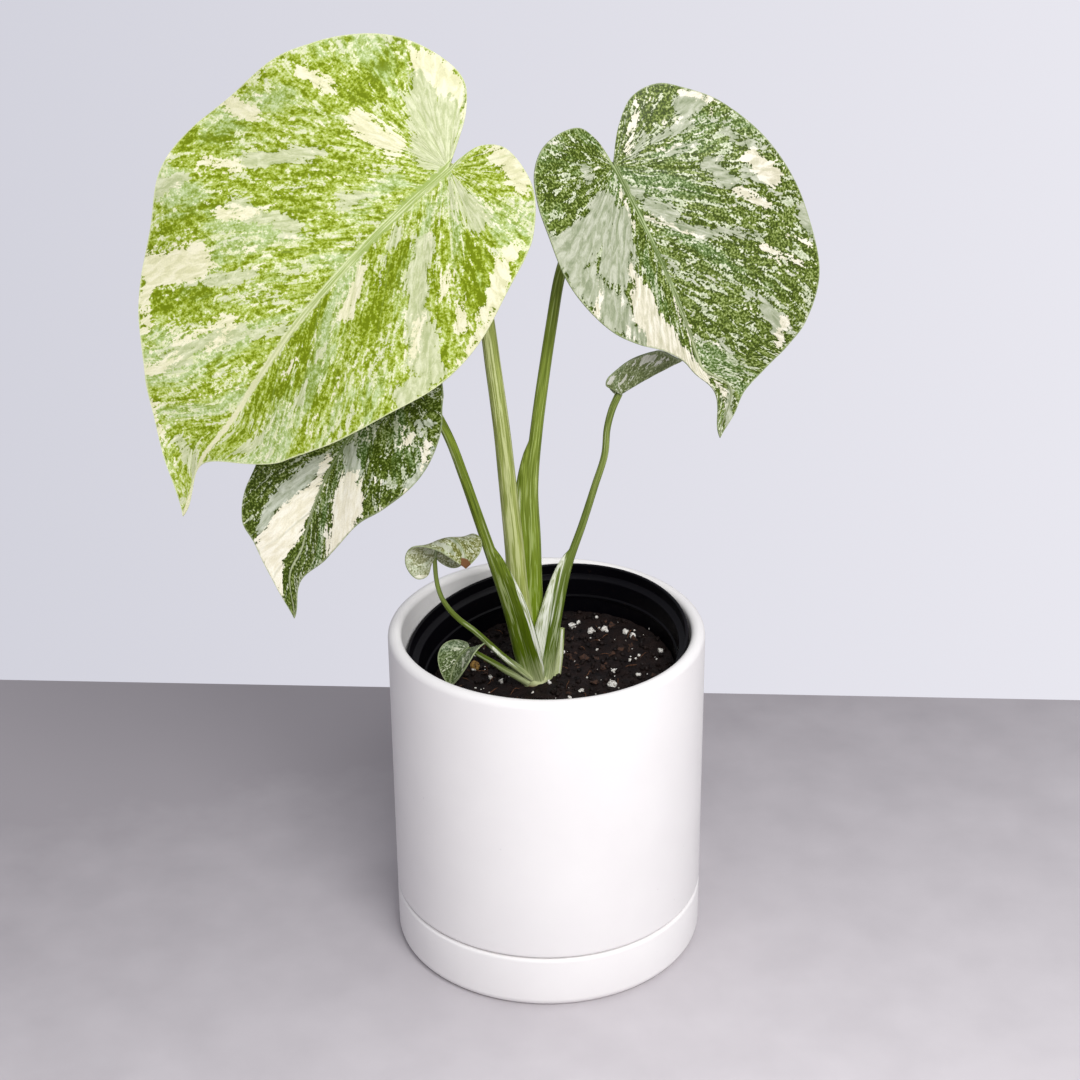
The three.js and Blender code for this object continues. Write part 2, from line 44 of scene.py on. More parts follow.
# Saucer
# A stoneware dish with an upright wall, slip cast, dipped in satin white glaze and fired. The pot
# stands in it on its own foot, flush outside, with a thin dark joint between the two.
def tint(hex_code):
    """An sRGB hex colour as the linear colour that a shader takes."""
    parts = [int(hex_code[i:i + 2], 16) / 255 for i in (1, 3, 5)]
    return (*[c / 12.92 if c <= 0.04045 else ((c + 0.055) / 1.055) ** 2.4 for c in parts], 1.0)


def feed(material, target, inputs):
    """Fills a node's inputs: each takes a plain value, another node or one of its outputs."""
    for socket, value in inputs.items():
        if isinstance(value, bpy.types.Node):
            value = next(output for output in value.outputs if output.enabled)
        if isinstance(value, bpy.types.NodeSocket):
            material.node_tree.links.new(value, target.inputs[socket])
        else:
            target.inputs[socket].default_value = value


def node(material, kind, inputs, stops=(), **settings):
    """Adds a shader node with its settings and links; a colour ramp's stops are (place, hex colour)."""
    made = material.node_tree.nodes.new("ShaderNode" + kind)
    for name, value in settings.items():
        setattr(made, name, value)
    for number, (place, colour) in enumerate(stops):
        marks = made.color_ramp.elements
        mark = marks[number] if number < 2 else marks.new(place)
        mark.position, mark.color = place, tint(colour)
    feed(material, made, inputs)
    return made


factor, under, over = 0, 6, 7  # a colour Mix node's inputs: how much, and of which two colours


def fresh_material(name):
    """An empty material, and the shader that its nodes feed."""
    material = bpy.data.materials.new(name)
    material.use_nodes = True
    return material, material.node_tree.nodes["Principled BSDF"]


def per_mm(*sizes):
    """Texture scale that gives a pattern these sizes in millimetres, one for all axes or one for each."""
    scales = tuple(1 / (size * MM) for size in sizes)
    return scales if len(scales) > 1 else scales[0]


def turn_on_wheel(corners, steps=128):
    """Turns a closed profile of (radius, height, rounding) in millimetres about the Z axis."""
    bm = bmesh.new()
    spots = [bm.verts.new((r * MM, 0, z * MM)) for r, z, _ in corners]
    bm.faces.new(spots)
    for spot, (_, _, rounding) in zip(spots, corners):
        if rounding:
            bmesh.ops.bevel(bm, geom=[spot], offset=rounding * MM, offset_type="OFFSET", segments=5,
                            profile=0.5, affect="VERTICES", material=-1)
    bmesh.ops.delete(bm, geom=bm.faces[:], context="FACES_ONLY")
    on_axis = [edge for edge in bm.edges if all(abs(v.co.x) < 1e-7 for v in edge.verts)]
    bmesh.ops.delete(bm, geom=on_axis, context="EDGES")
    spin_closed(bm, steps)
    return bm


def spin_closed(bm, steps):
    """Spins what a bmesh holds once round the Z axis, and closes the seam and the poles."""
    bmesh.ops.spin(bm, geom=bm.verts[:] + bm.edges[:], cent=(0, 0, 0), axis=(0, 0, 1),
                   angle=2 * math.pi, steps=steps, use_merge=True)
    bmesh.ops.remove_doubles(bm, verts=bm.verts[:], dist=1e-6)
    bmesh.ops.recalc_face_normals(bm, faces=bm.faces[:])


def put_in_scene(bm, name, materials, stands_for=None, crease=38):
    """Makes the bmesh a piece of the potted plant, with edges sharper than crease degrees kept."""
    mesh = bpy.data.meshes.new(name)
    bm.to_mesh(mesh)
    bm.free()
    for material in materials:
        mesh.materials.append(material)
    mesh.shade_smooth()
    mesh.set_sharp_from_angle(angle=math.radians(crease))
    piece = bpy.data.objects.new(name, mesh)
    bpy.context.scene.collection.objects.link(piece)
    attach(piece, "root")
    if stands_for:
        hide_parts(stands_for)


def satin_white_glaze():
    """Satin stoneware glaze: a soft wide highlight, a faint orange peel and a barely clouded white."""
    glaze, shader = fresh_material("satin_white_glaze")
    place = node(glaze, "TexCoord", {}).outputs["Object"]
    cloud = node(glaze, "TexNoise", {"Vector": place, "Scale": per_mm(38), "Detail": 3.0})
    peel = node(glaze, "TexNoise", {"Vector": place, "Scale": per_mm(2.2), "Detail": 1.0})
    pinhole = node(glaze, "TexVoronoi", {"Vector": place, "Scale": per_mm(9)})
    speck = node(glaze, "MapRange", {"Value": pinhole, "From Min": 0.03, "From Max": 0.05, "To Min": 0.9})
    body = node(glaze, "Mix", {factor: cloud, under: tint("#ece9e8"), over: tint("#f6f4f2")},
                data_type="RGBA")
    feed(glaze, shader, {
        "Base Color": node(glaze, "HueSaturation", {"Value": speck, "Color": body}),
        "Roughness": node(glaze, "MapRange", {"Value": cloud, "To Min": 0.34, "To Max": 0.44}),
        "Normal": node(glaze, "Bump", {"Strength": 0.12, "Distance": 0.2 * MM, "Height": peel}),
        "IOR": 1.5})
    return glaze


outer_radius = 65  # of the saucer and the cylinder, which stand flush
white_glaze = satin_white_glaze()
saucer = turn_on_wheel([
    (0, 0.8, 0), (52, 0.8, 0.4), (53, 0, 0.4), (62.5, 0, 0.8), (outer_radius, 2.4, 1.6),
    (outer_radius, 23.6, 1.4), (60.3, 23.6, 1.2), (60.3, 5, 3), (0, 5, 0)])
put_in_scene(saucer, "saucer_dish", [white_glaze], "saucer")


# Ceramic cylinder
# A slip-cast cylinder in the same glaze, with a thick lip rounded by sponge, a drain hole in its floor
# and a narrower foot that drops inside the saucer's wall.
drain_radius, foot_radius, inside_radius = 7, 58, 59.3
shoulder_height, lip_height = 24.3, 143.7
cylinder = turn_on_wheel([
    (drain_radius, 8.8, 0.8), (51.5, 8.8, 1), (52, 5.3, 0.6), (foot_radius, 5.3, 1.4),
    (foot_radius, shoulder_height, 0.8), (outer_radius, shoulder_height, 1.7),
    (outer_radius, lip_height, 3), (inside_radius, lip_height, 2.6), (inside_radius, 15.8, 4),
    (drain_radius, 15.8, 1.2)])
put_in_scene(cylinder, "cylinder_pot", [white_glaze], "ceramic_pot")


# Nursery pot
# A thin black polypropylene growing pot, injection moulded, with a stepped lip, two stiffening rings
# inside and slots in its base. It leans inside the cylinder, its high side at the back and right.
lean, lean_heading = math.radians(8.9), math.radians(45)
pot_axis = Vector((-math.cos(lean_heading) * math.sin(lean), -math.sin(lean_heading) * math.sin(lean),
                   math.cos(lean)))
pot_height, base_radius, top_radius, wall_thickness = 115, 41, 55.9, 1.1
pot_base = Vector((0, 0.6, 136)) - pot_axis * pot_height
leaning = (Matrix.Translation(pot_base * MM)
           @ Vector((0, 0, 1)).rotation_difference(pot_axis).to_matrix().to_4x4())


def outer_wall(height):
    """Outside radius of the nursery pot at a height above its base, in millimetres."""
    return base_radius + (top_radius - base_radius) * height / pot_height


def inner_wall(height, inwards=0.0):
    """Inside radius of the nursery pot at that height, or a place inwards of its wall."""
    return outer_wall(height) - wall_thickness - inwards


def moulded_black_plastic():
    """Moulded polypropylene: black with a dull satin sheen, fine scuffs and dry dust from the mix."""
    plastic, shader = fresh_material("moulded_black_polypropylene")
    place = node(plastic, "TexCoord", {}).outputs["Object"]
    film = node(plastic, "TexNoise", {"Vector": place, "Scale": per_mm(14), "Detail": 4.0})
    grit = node(plastic, "TexNoise", {"Vector": place, "Scale": per_mm(1.1), "Detail": 2.0})
    dusty = node(plastic, "MapRange", {"Value": grit, "From Min": 0.66, "From Max": 0.72, "To Max": 0.55})
    settled = node(plastic, "MapRange", {"Value": film, "From Min": 0.45, "From Max": 0.7})
    dust = node(plastic, "Math", {0: dusty, 1: settled}, operation="MULTIPLY")
    feed(plastic, shader, {
        "Base Color": node(plastic, "Mix", {factor: dust, under: tint("#040307"), over: tint("#33271f")},
                           data_type="RGBA"),
        "Roughness": node(plastic, "MapRange", {"Value": film, "To Min": 0.3, "To Max": 0.45}),
        "Normal": node(plastic, "Bump", {"Strength": 0.2, "Distance": 0.1 * MM, "Height": grit}),
        "Specular IOR Level": 0.16})
    return plastic


inside = [(57.2, 114.8, 0.3), (56.9, 110.4, 0.3), (inner_wall(109.6), 109.6, 0.3)]
ring_proud = 0.7  # how far a stiffening ring stands inwards
for height in (101.4, 91.5):
    inside += [(inner_wall(height + 0.9), height + 0.9, 0),
               (inner_wall(height, ring_proud), height + 0.4, 0.2),
               (inner_wall(height, ring_proud), height - 0.4, 0.2),
               (inner_wall(height - 0.9), height - 0.9, 0)]
slots, slot_pitch, slot_from, slot_to, floor_top = 6, 60, 24, 32, 1.3
nursery = turn_on_wheel([
    (0, 0, 0), (slot_from, 0, 0), (slot_to, 0, 0), (40.4, 0, 0.6), (outer_wall(109), 109, 0.2),
    (58.2, 109.6, 0.5), (58.5, pot_height, 0.5), *inside, (inner_wall(floor_top), floor_top, 0.6),
    (slot_to, floor_top, 0), (slot_from, floor_top, 0), (0, floor_top, 0)])
slot_faces = []
for face in nursery.faces:
    middle = face.calc_center_median()
    sector = math.degrees(math.atan2(middle.y, middle.x)) % slot_pitch
    in_floor = middle.z < 2 * MM and slot_from * MM < middle.xy.length < slot_to * MM
    if in_floor and abs(sector - slot_pitch / 2) < 8:
        slot_faces.append(face)
bmesh.ops.delete(nursery, geom=slot_faces, context="FACES")
open_edges = [edge for edge in nursery.edges if edge.is_boundary]
for number in range(slots):
    heading = math.radians(slot_pitch * number + slot_pitch / 2)
    ray = Vector((math.cos(heading), math.sin(heading)))
    ends = [edge for edge in open_edges
            if sum((v.co for v in edge.verts), Vector()).xy.angle_signed(ray) ** 2 < 0.2]
    bmesh.ops.bridge_loops(nursery, edges=ends)
bmesh.ops.recalc_face_normals(nursery, faces=nursery.faces[:])
bmesh.ops.transform(nursery, matrix=leaning, verts=nursery.verts[:])
put_in_scene(nursery, "growing_pot", [moulded_black_plastic()], "nursery_pot", crease=30)


# Potting mix
# Dark peat and bark with white perlite and loose fibre, watered and settled a finger's width below the
# rim. It is banked a little round the stem and its largest grains stand proud.
below_rim, wall_gap = 21.5, 0.3
soil_level = pot_height - below_rim
soil_radius = inner_wall(soil_level) - wall_gap
stem_x, stem_y, bank_height, stem_clearance = -7, 3, 3.2, 10


def mix_height(x, y):
    """Height of the mix over the pot's base at a place across the pot, all in millimetres."""
    swell = math.sin(x / 9 + 0.6) * math.cos(y / 8) + 0.6 * math.sin(x / 4 - y / 5)
    at_wall = min(1, math.hypot(x, y) / soil_radius) ** 4
    bank = bank_height * math.exp(-((x - stem_x) ** 2 + (y - stem_y) ** 2) / 200)
    crumb = noise.fractal(Vector((x, y, 0)) / 3.4, 0.7, 2.1, 4)
    return soil_level + 0.8 * swell * (1 - at_wall) + 0.6 * at_wall + bank + 0.75 * crumb


def damp_peat():
    """Damp peat: near black brown, matt, with redder bark dust and a few wet glints."""
    peat, shader = fresh_material("damp_peat_mix")
    place = node(peat, "TexCoord", {}).outputs["Object"]
    clod = node(peat, "TexNoise", {"Vector": place, "Scale": per_mm(4), "Detail": 5.0, "Roughness": 0.65})
    grain = node(peat, "TexNoise", {"Vector": place, "Scale": per_mm(0.9), "Detail": 2.0})
    feed(peat, shader, {
        "Base Color": node(peat, "ValToRGB", {"Fac": clod}, [(0.32, "#070304"), (0.74, "#1f110c")]),
        "Roughness": node(peat, "MapRange", {"Value": grain, "From Min": 0.35, "From Max": 0.7,
                                             "To Min": 0.55, "To Max": 0.95}),
        "Normal": node(peat, "Bump", {"Strength": 0.8, "Distance": 0.5 * MM, "Height": grain}),
        "Specular IOR Level": 0.25})
    return peat


bed, bed_floor = bmesh.new(), 1.6
bed_profile = [(0, bed_floor), (inner_wall(bed_floor) - 0.5, bed_floor), (soil_radius, soil_level),
               (0, soil_level)]
spots = [bed.verts.new((r * MM, 0, z * MM)) for r, z in bed_profile]
_, side_edge, top_edge = [bed.edges.new(pair) for pair in zip(spots, spots[1:])]
for edge, cuts in ((top_edge, 54), (side_edge, 6)):
    bmesh.ops.subdivide_edges(bed, edges=[edge], cuts=cuts)
spin_closed(bed, 200)
for spot in bed.verts:
    if spot.co.z > (soil_level - 0.01) * MM:
        spot.co.z = mix_height(spot.co.x / MM, spot.co.y / MM) * MM
bmesh.ops.transform(bed, matrix=leaning, verts=bed.verts[:])
peat = damp_peat()
put_in_scene(bed, "peat_bed", [peat], "soil", crease=80)


def scatter(bm, x, y, size, flat=0.8, rough=0.35, corners=1):
    """Drops one broken grain on the mix: size is its radius in millimetres, flat and rough are shares."""
    sunk = 0.15
    turn = Matrix.Rotation(random.uniform(0, 6.3), 4, Vector((random.random(), random.random(), 1)))
    shape = Matrix.Diagonal((1, random.uniform(0.65, 1), flat, 1))
    place = Matrix.Translation(Vector((x, y, mix_height(x, y) + size * (flat - sunk) * 0.6)) * MM)
    made = bmesh.ops.create_icosphere(bm, subdivisions=corners, radius=size * MM,
                                      matrix=leaning @ place @ turn @ shape)["verts"]
    for spot in made:
        spot.co += noise.noise_vector(spot.co / (size * MM) * 1.3 + Vector((x, y, 0))) * size * rough * MM


def loose_place(reach):
    """A random place across the mix within reach millimetres, clear of the stem."""
    while True:
        x, y = random.uniform(-reach, reach), random.uniform(-reach, reach)
        if math.hypot(x, y) < reach and math.hypot(x - stem_x, y - stem_y) > stem_clearance:
            return x, y


random.seed(5)
noise.seed_set(5)  # the grains' vector noise would start from the clock otherwise
crumbs = bmesh.new()
for _ in range(900):
    scatter(crumbs, *loose_place(soil_radius - 1), random.choice([0.35, 0.5, 0.7, 0.9, 1.3]), rough=0.6)
put_in_scene(crumbs, "peat_crumbs", [peat], crease=180)


def dry_grain(name, low, high, size):
    """A dry porous grain, chip or fibre: matt and pitted, with painted shade darkening its hollows."""
    grain, shader = fresh_material(name)
    place = node(grain, "TexCoord", {}).outputs["Object"]
    pits = node(grain, "TexNoise", {"Vector": place, "Scale": per_mm(size), "Detail": 3.0})
    # The colour follows the bump's noise, so the hollows are painted darker: painted shade.
    feed(grain, shader, {
        "Base Color": node(grain, "ValToRGB", {"Fac": pits}, [(0.36, low), (0.56, high)]),
        "Normal": node(grain, "Bump", {"Strength": 0.6, "Distance": 0.2 * MM, "Height": pits}),
        "Roughness": 0.92})
    return grain


perlite = bmesh.new()
big_perlite = [(9, 39, 1.6), (12, 41, 1.1), (17, 35, 1.7), (23, 35, 1.6), (24, 33, 0.9), (32, 30, 1.5),
               (35, 27, 1.9), (43, 31, 1.0), (26, 4, 1.2), (25, -6, 1.9), (5, 22, 0.9), (33, 10, 1.0),
               (-33, 14, 1.6), (-21, 3, 1.4), (-1, -4, 1.1), (46, 14, 1.3), (20, 44, 0.8), (-26, 8, 1.2),
               (12, -8, 1.2), (7, -12, 0.9), (36, 0, 1.1), (-36, 24, 1.0), (-14, -14, 1.3)]
for x, y, size in big_perlite:
    scatter(perlite, x, y, size, rough=0.5, corners=2)
for _ in range(170):
    scatter(perlite, *loose_place(soil_radius - 2), random.choice([0.25, 0.3, 0.4, 0.4, 0.55, 0.8]))
put_in_scene(perlite, "perlite_grains", [dry_grain("expanded_perlite", "#8d8378", "#efede6", 0.5)],
             crease=60)

bark = bmesh.new()
for _ in range(75):
    scatter(bark, *loose_place(soil_radius - 3), random.uniform(0.8, 2.2), flat=0.35, rough=0.7)
put_in_scene(bark, "bark_chips", [dry_grain("composted_bark", "#1a0f0e", "#452b1b", 0.8)],
             crease=40)

pebble = bmesh.new()
scatter(pebble, -32.6, 15.4, 2.9, flat=0.75, rough=0.12, corners=3)
put_in_scene(pebble, "tan_pebble", [dry_grain("tan_pumice", "#4a3418", "#a8823f", 1.4)],
             crease=180)


def smooth_route(stops):
    """A smooth line through the stops, as closely spaced points."""
    stops = [Vector(stop) for stop in stops]
    stops = [2 * stops[0] - stops[1]] + stops + [2 * stops[-1] - stops[-2]]
    line, parts = [], 40
    for p0, p1, p2, p3 in zip(stops, stops[1:], stops[2:], stops[3:]):
        d0, d1, d2 = (max((b - a).length, 1e-6) ** 0.5 for a, b in ((p0, p1), (p1, p2), (p2, p3)))
        leave = ((p1 - p0) / d0 - (p2 - p0) / (d0 + d1) + (p2 - p1) / d1) * d1
        arrive = ((p2 - p1) / d1 - (p3 - p1) / (d1 + d2) + (p3 - p2) / d2) * d1
        for t in (part / parts for part in range(parts)):
            line.append(p1 + leave * t + (3 * (p2 - p1) - 2 * leave - arrive) * t * t
                        + (2 * (p1 - p2) + leave + arrive) * t ** 3)
    return line + [stops[-2]]


def place_on(line, share):
    """The point and the direction at a share of a line's length."""
    run = [0.0]
    for a, b in zip(line, line[1:]):
        run.append(run[-1] + (b - a).length)
    want = min(max(share, 0), 1) * run[-1]
    k = min(max(bisect.bisect_right(run, want) - 1, 0), len(line) - 2)
    part = (want - run[k]) / max(run[k + 1] - run[k], 1e-9)
    return line[k].lerp(line[k + 1], part), (line[k + 1] - line[k]).normalized()


def grow_tube(bm, path, radius, sides, steps, wings=(), ridges=0.0):
    """Extrudes a round section along a path, all in millimetres. A wing is (heading, from, to, width):
    one edge drawn out thin between two shares of the length, at a heading round from the right hand."""
    curve = smooth_route(path)
    straight = bm.verts.layers.float_vector.get("straight") or bm.verts.layers.float_vector.new("straight")
    sheath = bm.verts.layers.float.get("sheath") or bm.verts.layers.float.new("sheath")
    length = sum((b - a).length for a, b in zip(curve, curve[1:]))

    def around(ring):
        edges = {edge for spot in ring for edge in spot.link_edges}
        return [edge for edge in edges if all(v in ring for v in edge.verts)]

    ring = bmesh.ops.create_circle(bm, cap_ends=True, segments=sides, radius=1)["verts"]
    for spot in ring:
        spot[straight] = (spot.co.x, spot.co.y, 0)
    for step in range(steps + 1):
        if step:
            made = bmesh.ops.extrude_edge_only(bm, edges=around(ring))["geom"]
            ring = [part for part in made if isinstance(part, bmesh.types.BMVert)]
        share = step / steps
        centre, tangent = place_on(curve, share)
        right = Vector((0, 1, 0)).cross(tangent).normalized()
        front = -tangent.cross(right)
        place = share * (len(radius) - 1)
        low = min(int(place), len(radius) - 2)
        thick = radius[low] + (radius[low + 1] - radius[low]) * (place - low)
        for spot in ring:
            angle = math.atan2(spot[straight].y, spot[straight].x)
            reach = thick * (1 + ridges * math.cos(9 * angle))
            spread = 0.0
            for heading, start, end, width in wings:
                if start < share < end:
                    rise = math.sin(math.pi * (share - start) / (end - start)) ** 0.55
                    spread += width * rise * max(0, math.cos(angle - math.radians(heading))) ** 9
            spot[sheath] = spread
            spot[straight] = Vector((math.cos(angle), math.sin(angle), 0)) * (thick + spread) * MM
            spot[straight].z = share * length * MM
            spot.co = (centre + (right * math.cos(angle) + front * math.sin(angle)) * (reach + spread)) * MM
    bmesh.ops.contextual_create(bm, geom=around(ring))


fibres = bmesh.new()
for _ in range(46):
    x, y = loose_place(soil_radius - 6)
    heading = random.uniform(0, 6.3)
    stops = []
    for step in range(4):
        heading += random.uniform(-0.7, 0.7)
        x, y = x + 1.7 * math.cos(heading), y + 1.7 * math.sin(heading)
        lift = 0.4 if step in (0, 3) else random.uniform(0.6, 1.5)
        stops.append(leaning @ (Vector((x, y, mix_height(x, y) + lift)) * MM) / MM)
    grow_tube(fibres, stops, [0.1, 0.17, 0.15, 0.06], 5, 8)
put_in_scene(fibres, "coir_fibres", [dry_grain("coir_fibre", "#2c1810", "#6b4429", 1.0)],
             crease=180)


# Rootstock
# The short stem that every stalk springs from, corky and ringed with old leaf scars, with five thick
# roots going down into the mix. Only its crown shows above ground.
def corky_stem():
    """Young aroid stem: tan cork over green, in rings a millimetre or so apart, earthy below ground."""
    cork, shader = fresh_material("corky_stem")
    place = node(cork, "TexCoord", {}).outputs["Object"]
    rings = node(cork, "TexWave", {"Vector": place, "Scale": per_mm(22), "Distortion": 3.0, "Detail": 2.0,
                                   "Detail Scale": 2.0}, bands_direction="Z").outputs["Fac"]
    patch = node(cork, "TexNoise", {"Vector": place, "Scale": per_mm(3), "Detail": 4.0})
    skin = node(cork, "Mix", {factor: patch, under: tint("#97a35a"), over: tint("#d6d9b0")},
                data_type="RGBA")
    height = node(cork, "SeparateXYZ", {"Vector": place}).outputs["Z"]
    earthy = node(cork, "MapRange", {"Value": height, "From Min": 115 * MM,
                                     "From Max": 116.5 * MM, "To Min": 1.0, "To Max": 0.0})
    feed(cork, shader, {
        "Base Color": node(cork, "Mix", {factor: earthy, under: skin, over: tint("#5d452c")},
                           data_type="RGBA"),
        "Normal": node(cork, "Bump", {"Strength": 0.5, "Distance": 0.4 * MM, "Height": rings}),
        "Roughness": 0.75})
    return cork


crown = Vector((-4.5, 6.5, 118))
stem = turn_on_wheel([(0, -34, 0), (2.5, -32, 1), (5.5, -20, 2), (7, -8, 2), (7.6, -2, 1.5),
                      (6.4, 1.2, 1.2), (0, 2, 0)], steps=48)
bmesh.ops.subdivide_edges(stem, edges=stem.edges[:], cuts=1, use_grid_fill=True)
for spot in stem.verts:
    spot.co += spot.normal * noise.fractal(spot.co / (4 * MM), 0.8, 2, 3) * 0.25 * MM
bmesh.ops.translate(stem, vec=crown * MM, verts=stem.verts[:])
for number, heading in enumerate([20, 95, 160, 235, 305]):
    out = Vector((math.cos(math.radians(heading)), math.sin(math.radians(heading)), 0))
    start = crown + Vector((0, 0, -10 - 3 * number))
    falls = [(0, 0), (9, -5), (17, -15), (21, -30 + 2 * number)]
    grow_tube(stem, [start + out * r + Vector((0, 0, z)) for r, z in falls], [2.2, 1.9, 1.6, 1.0], 14, 24)
put_in_scene(stem, "root_crown", [corky_stem()], "rootstock", crease=60)


# Leaf stalks
# Six fleshy petioles, round and striped lengthwise in green and cream. The older ones keep a thin papery
# wing low down, the sheath that wrapped the next leaf while it grew.
def striped_petiole(name, deep, bright, low, pale, cream, amount, papery_from=0.5):
    """Living petiole skin: waxy, streaked along its length; amount is how much of it is pale, low is its
    richer green near the soil, and papery_from says how far out its wing turns to dry sheath, in mm."""
    skin, shader = fresh_material(name)
    run = node(skin, "Attribute", {}, attribute_name="straight").outputs["Vector"]
    sheath = node(skin, "Attribute", {}, attribute_name="sheath").outputs["Fac"]
    height = node(skin, "SeparateXYZ", {"Vector": run}).outputs["Z"]
    streaks = []
    for wide, long in ((1.7, 55), (0.5, 16)):
        drawn_out = node(skin, "Mapping", {"Vector": run, "Scale": per_mm(wide, wide, long)})
        streaks.append(node(skin, "TexNoise", {"Vector": drawn_out, "Scale": 1.0, "Detail": 2.0}))
    stripe, thread = streaks
    lined = node(skin, "MapRange", {"Value": thread, "From Min": 0.34, "From Max": 0.66})
    lowness = node(skin, "MapRange", {"Value": height, "From Min": 85 * MM, "From Max": 30 * MM})
    lines = node(skin, "MapRange", {"Value": thread, "From Min": 0.42, "From Max": 0.6, "To Min": 0.4})
    rich = node(skin, "Math", {0: lowness, 1: lines}, operation="MULTIPLY")
    field = node(skin, "Math", {0: stripe, 1: thread}, operation="ADD")
    field = node(skin, "Math", {0: lowness, 1: 0.05, 2: field}, operation="MULTIPLY_ADD")
    streaked = node(skin, "MapRange", {"Value": field, "From Min": 1.11 - amount, "From Max": 1.19 - amount,
                                       "To Max": 0.85})
    ragged = node(skin, "Math", {0: stripe, 1: 7.0, 2: sheath}, operation="MULTIPLY_ADD")
    papery = node(skin, "MapRange", {"Value": ragged, "From Min": 3.5 + papery_from,
                                     "From Max": 4.1 + papery_from, "To Max": 0.95})
    wing = node(skin, "ValToRGB", {"Fac": thread}, [(0.32, bright), (0.54, cream)])
    ends = node(skin, "Math", {0: thread, 1: 40 * MM, 2: height}, operation="MULTIPLY_ADD")
    blanched = node(skin, "MapRange", {"Value": ends, "From Min": 36 * MM, "From Max": 20 * MM,
                                       "To Max": 0.75})
    tone = tint(deep)
    for share, colour in ((lined, tint(bright)), (rich, tint(low)), (streaked, tint(pale)), (papery, wing),
                          (blanched, tint("#cbd2a0"))):
        tone = node(skin, "Mix", {factor: share, under: tone, over: colour}, data_type="RGBA")
    feed(skin, shader, {
        "Base Color": tone, "Roughness": 0.42, "Specular IOR Level": 0.18,
        "Normal": node(skin, "Bump", {"Strength": 0.35, "Distance": 0.15 * MM, "Height": thread})})
    return skin


olive_skin = striped_petiole(
    "olive_petiole", "#7c8640", "#a5af60", "#b0bb62", "#c2c88c", "#e6e6cf", 0.14, 3.0)
green_skin = striped_petiole(
    "green_petiole", "#56661f", "#8b9852", "#486000", "#a9b486", "#f2f4e4", -0.02, 1.2)
wrapped_skin = striped_petiole(
    "wrapped_petiole", "#5e6e1c", "#8a9a40", "#6c8600", "#a6b56a", "#dfe3c4", 0.0, 2.6)
deep_skin = striped_petiole(
    "deep_green_petiole", "#4a5a12", "#7f9030", "#4a6002", "#97a26c", "#f0f2e4", -0.02, 3.3)
dry_skin = striped_petiole("drying_sheath", "#7f9145", "#a5b268", "#8fa050", "#cdd3a6", "#e8e8dc", 0.1)

# Each stalk's skin, the places it passes, its radius from foot to blade, and its wings.
stalks = {
    "leaf_1": (olive_skin, [(-5.6, 6.3, 114), (-11, 6, 152), (-13, 5, 180), (-15, 5, 204), (-17, 5, 228),
                            (-20, 7, 254), (-24, 11, 285), (-31, 14, 316), (-35, 6, 331),
                            (-34.8, -1, 336.5)], [4.6, 4.4, 4.0, 3.6, 3.3, 3.1, 2.8, 2.6, 2.4], ()),
    "leaf_2": (wrapped_skin, [(-3.2, 7.8, 114), (-5.2, 10, 150), (-5.2, 11, 177), (-5.6, 12, 200),
                              (-3.4, 14, 224), (3, 20, 267), (7, 24, 288), (14, 28, 306), (22, 24, 323),
                              (26.6, 16.8, 331.6)],
               [4.6, 4.2, 3.4, 2.8, 2.5, 2.3, 2.2, 2.1, 2.0], ((176, 0.0, 0.46, 5.2),)),
    "leaf_3": (deep_skin, [(-6.6, 3.8, 114), (-14.6, -2, 152), (-21.3, -6, 177), (-27, -9, 198),
                           (-32, -11, 216), (-37, -12, 232), (-43, -10, 244), (-49, -7, 252),
                           (-53.7, -9.2, 257.4)],
               [4.0, 3.6, 3.0, 2.5, 2.2, 2.0, 1.9, 1.8, 1.8], ((20, -0.05, 0.45, 5.0),)),
    "leaf_4": (green_skin, [(-0.8, 4.2, 114), (4, 6, 142), (9, 9, 166), (15, 11, 184), (20, 13, 200),
                            (24, 15, 213), (25, 16, 224), (27, 16, 232.5), (29.7, 16.6, 238.8)],
               [3.4, 2.6, 2.0, 1.8, 1.6, 1.5, 1.4, 1.4, 1.5], ((165, -0.4, 0.46, 7.2),)),
    "leaf_5": (green_skin, [(-6.5, 1.6, 118), (-17, -5, 131), (-23, -8, 139), (-29, -11, 147),
                            (-35, -14, 154), (-39, -16, 160), (-42, -18, 167), (-43.5, -18, 174),
                            (-44, -18, 184)],
               [2.1, 1.7, 1.4, 1.3, 1.2, 1.1, 1.0, 0.9, 0.9], ((80, 0.0, 0.35, 1.6),)),
    "leaf_6": (green_skin, [(-8, 0.6, 117), (-17, -4, 125), (-21, -6, 129), (-25.5, -9.5, 134),
                            (-31.4, -13.7, 140.2)], [1.9, 1.6, 1.3, 1.1, 1.0], ()),
}
for leaf_name, (skin, path, radius, wings) in stalks.items():
    stalk = bmesh.new()
    grow_tube(stalk, path, radius, 56, 90, wings, ridges=0.012)
    bmesh.ops.recalc_face_normals(stalk, faces=stalk.faces[:])
    put_in_scene(stalk, f"{leaf_name}_stalk", [skin], f"{leaf_name}_petiole", crease=50)

stub = bmesh.new()
grow_tube(stub, [(3.4, 3.8, 113), (5.6, 5.5, 128), (6.4, 6.6, 138.5)], [1.9, 1.5, 1.1], 24, 30)
bmesh.ops.recalc_face_normals(stub, faces=stub.faces[:])
put_in_scene(stub, "sheath_stub", [dry_skin], "cut_sheath", crease=50)


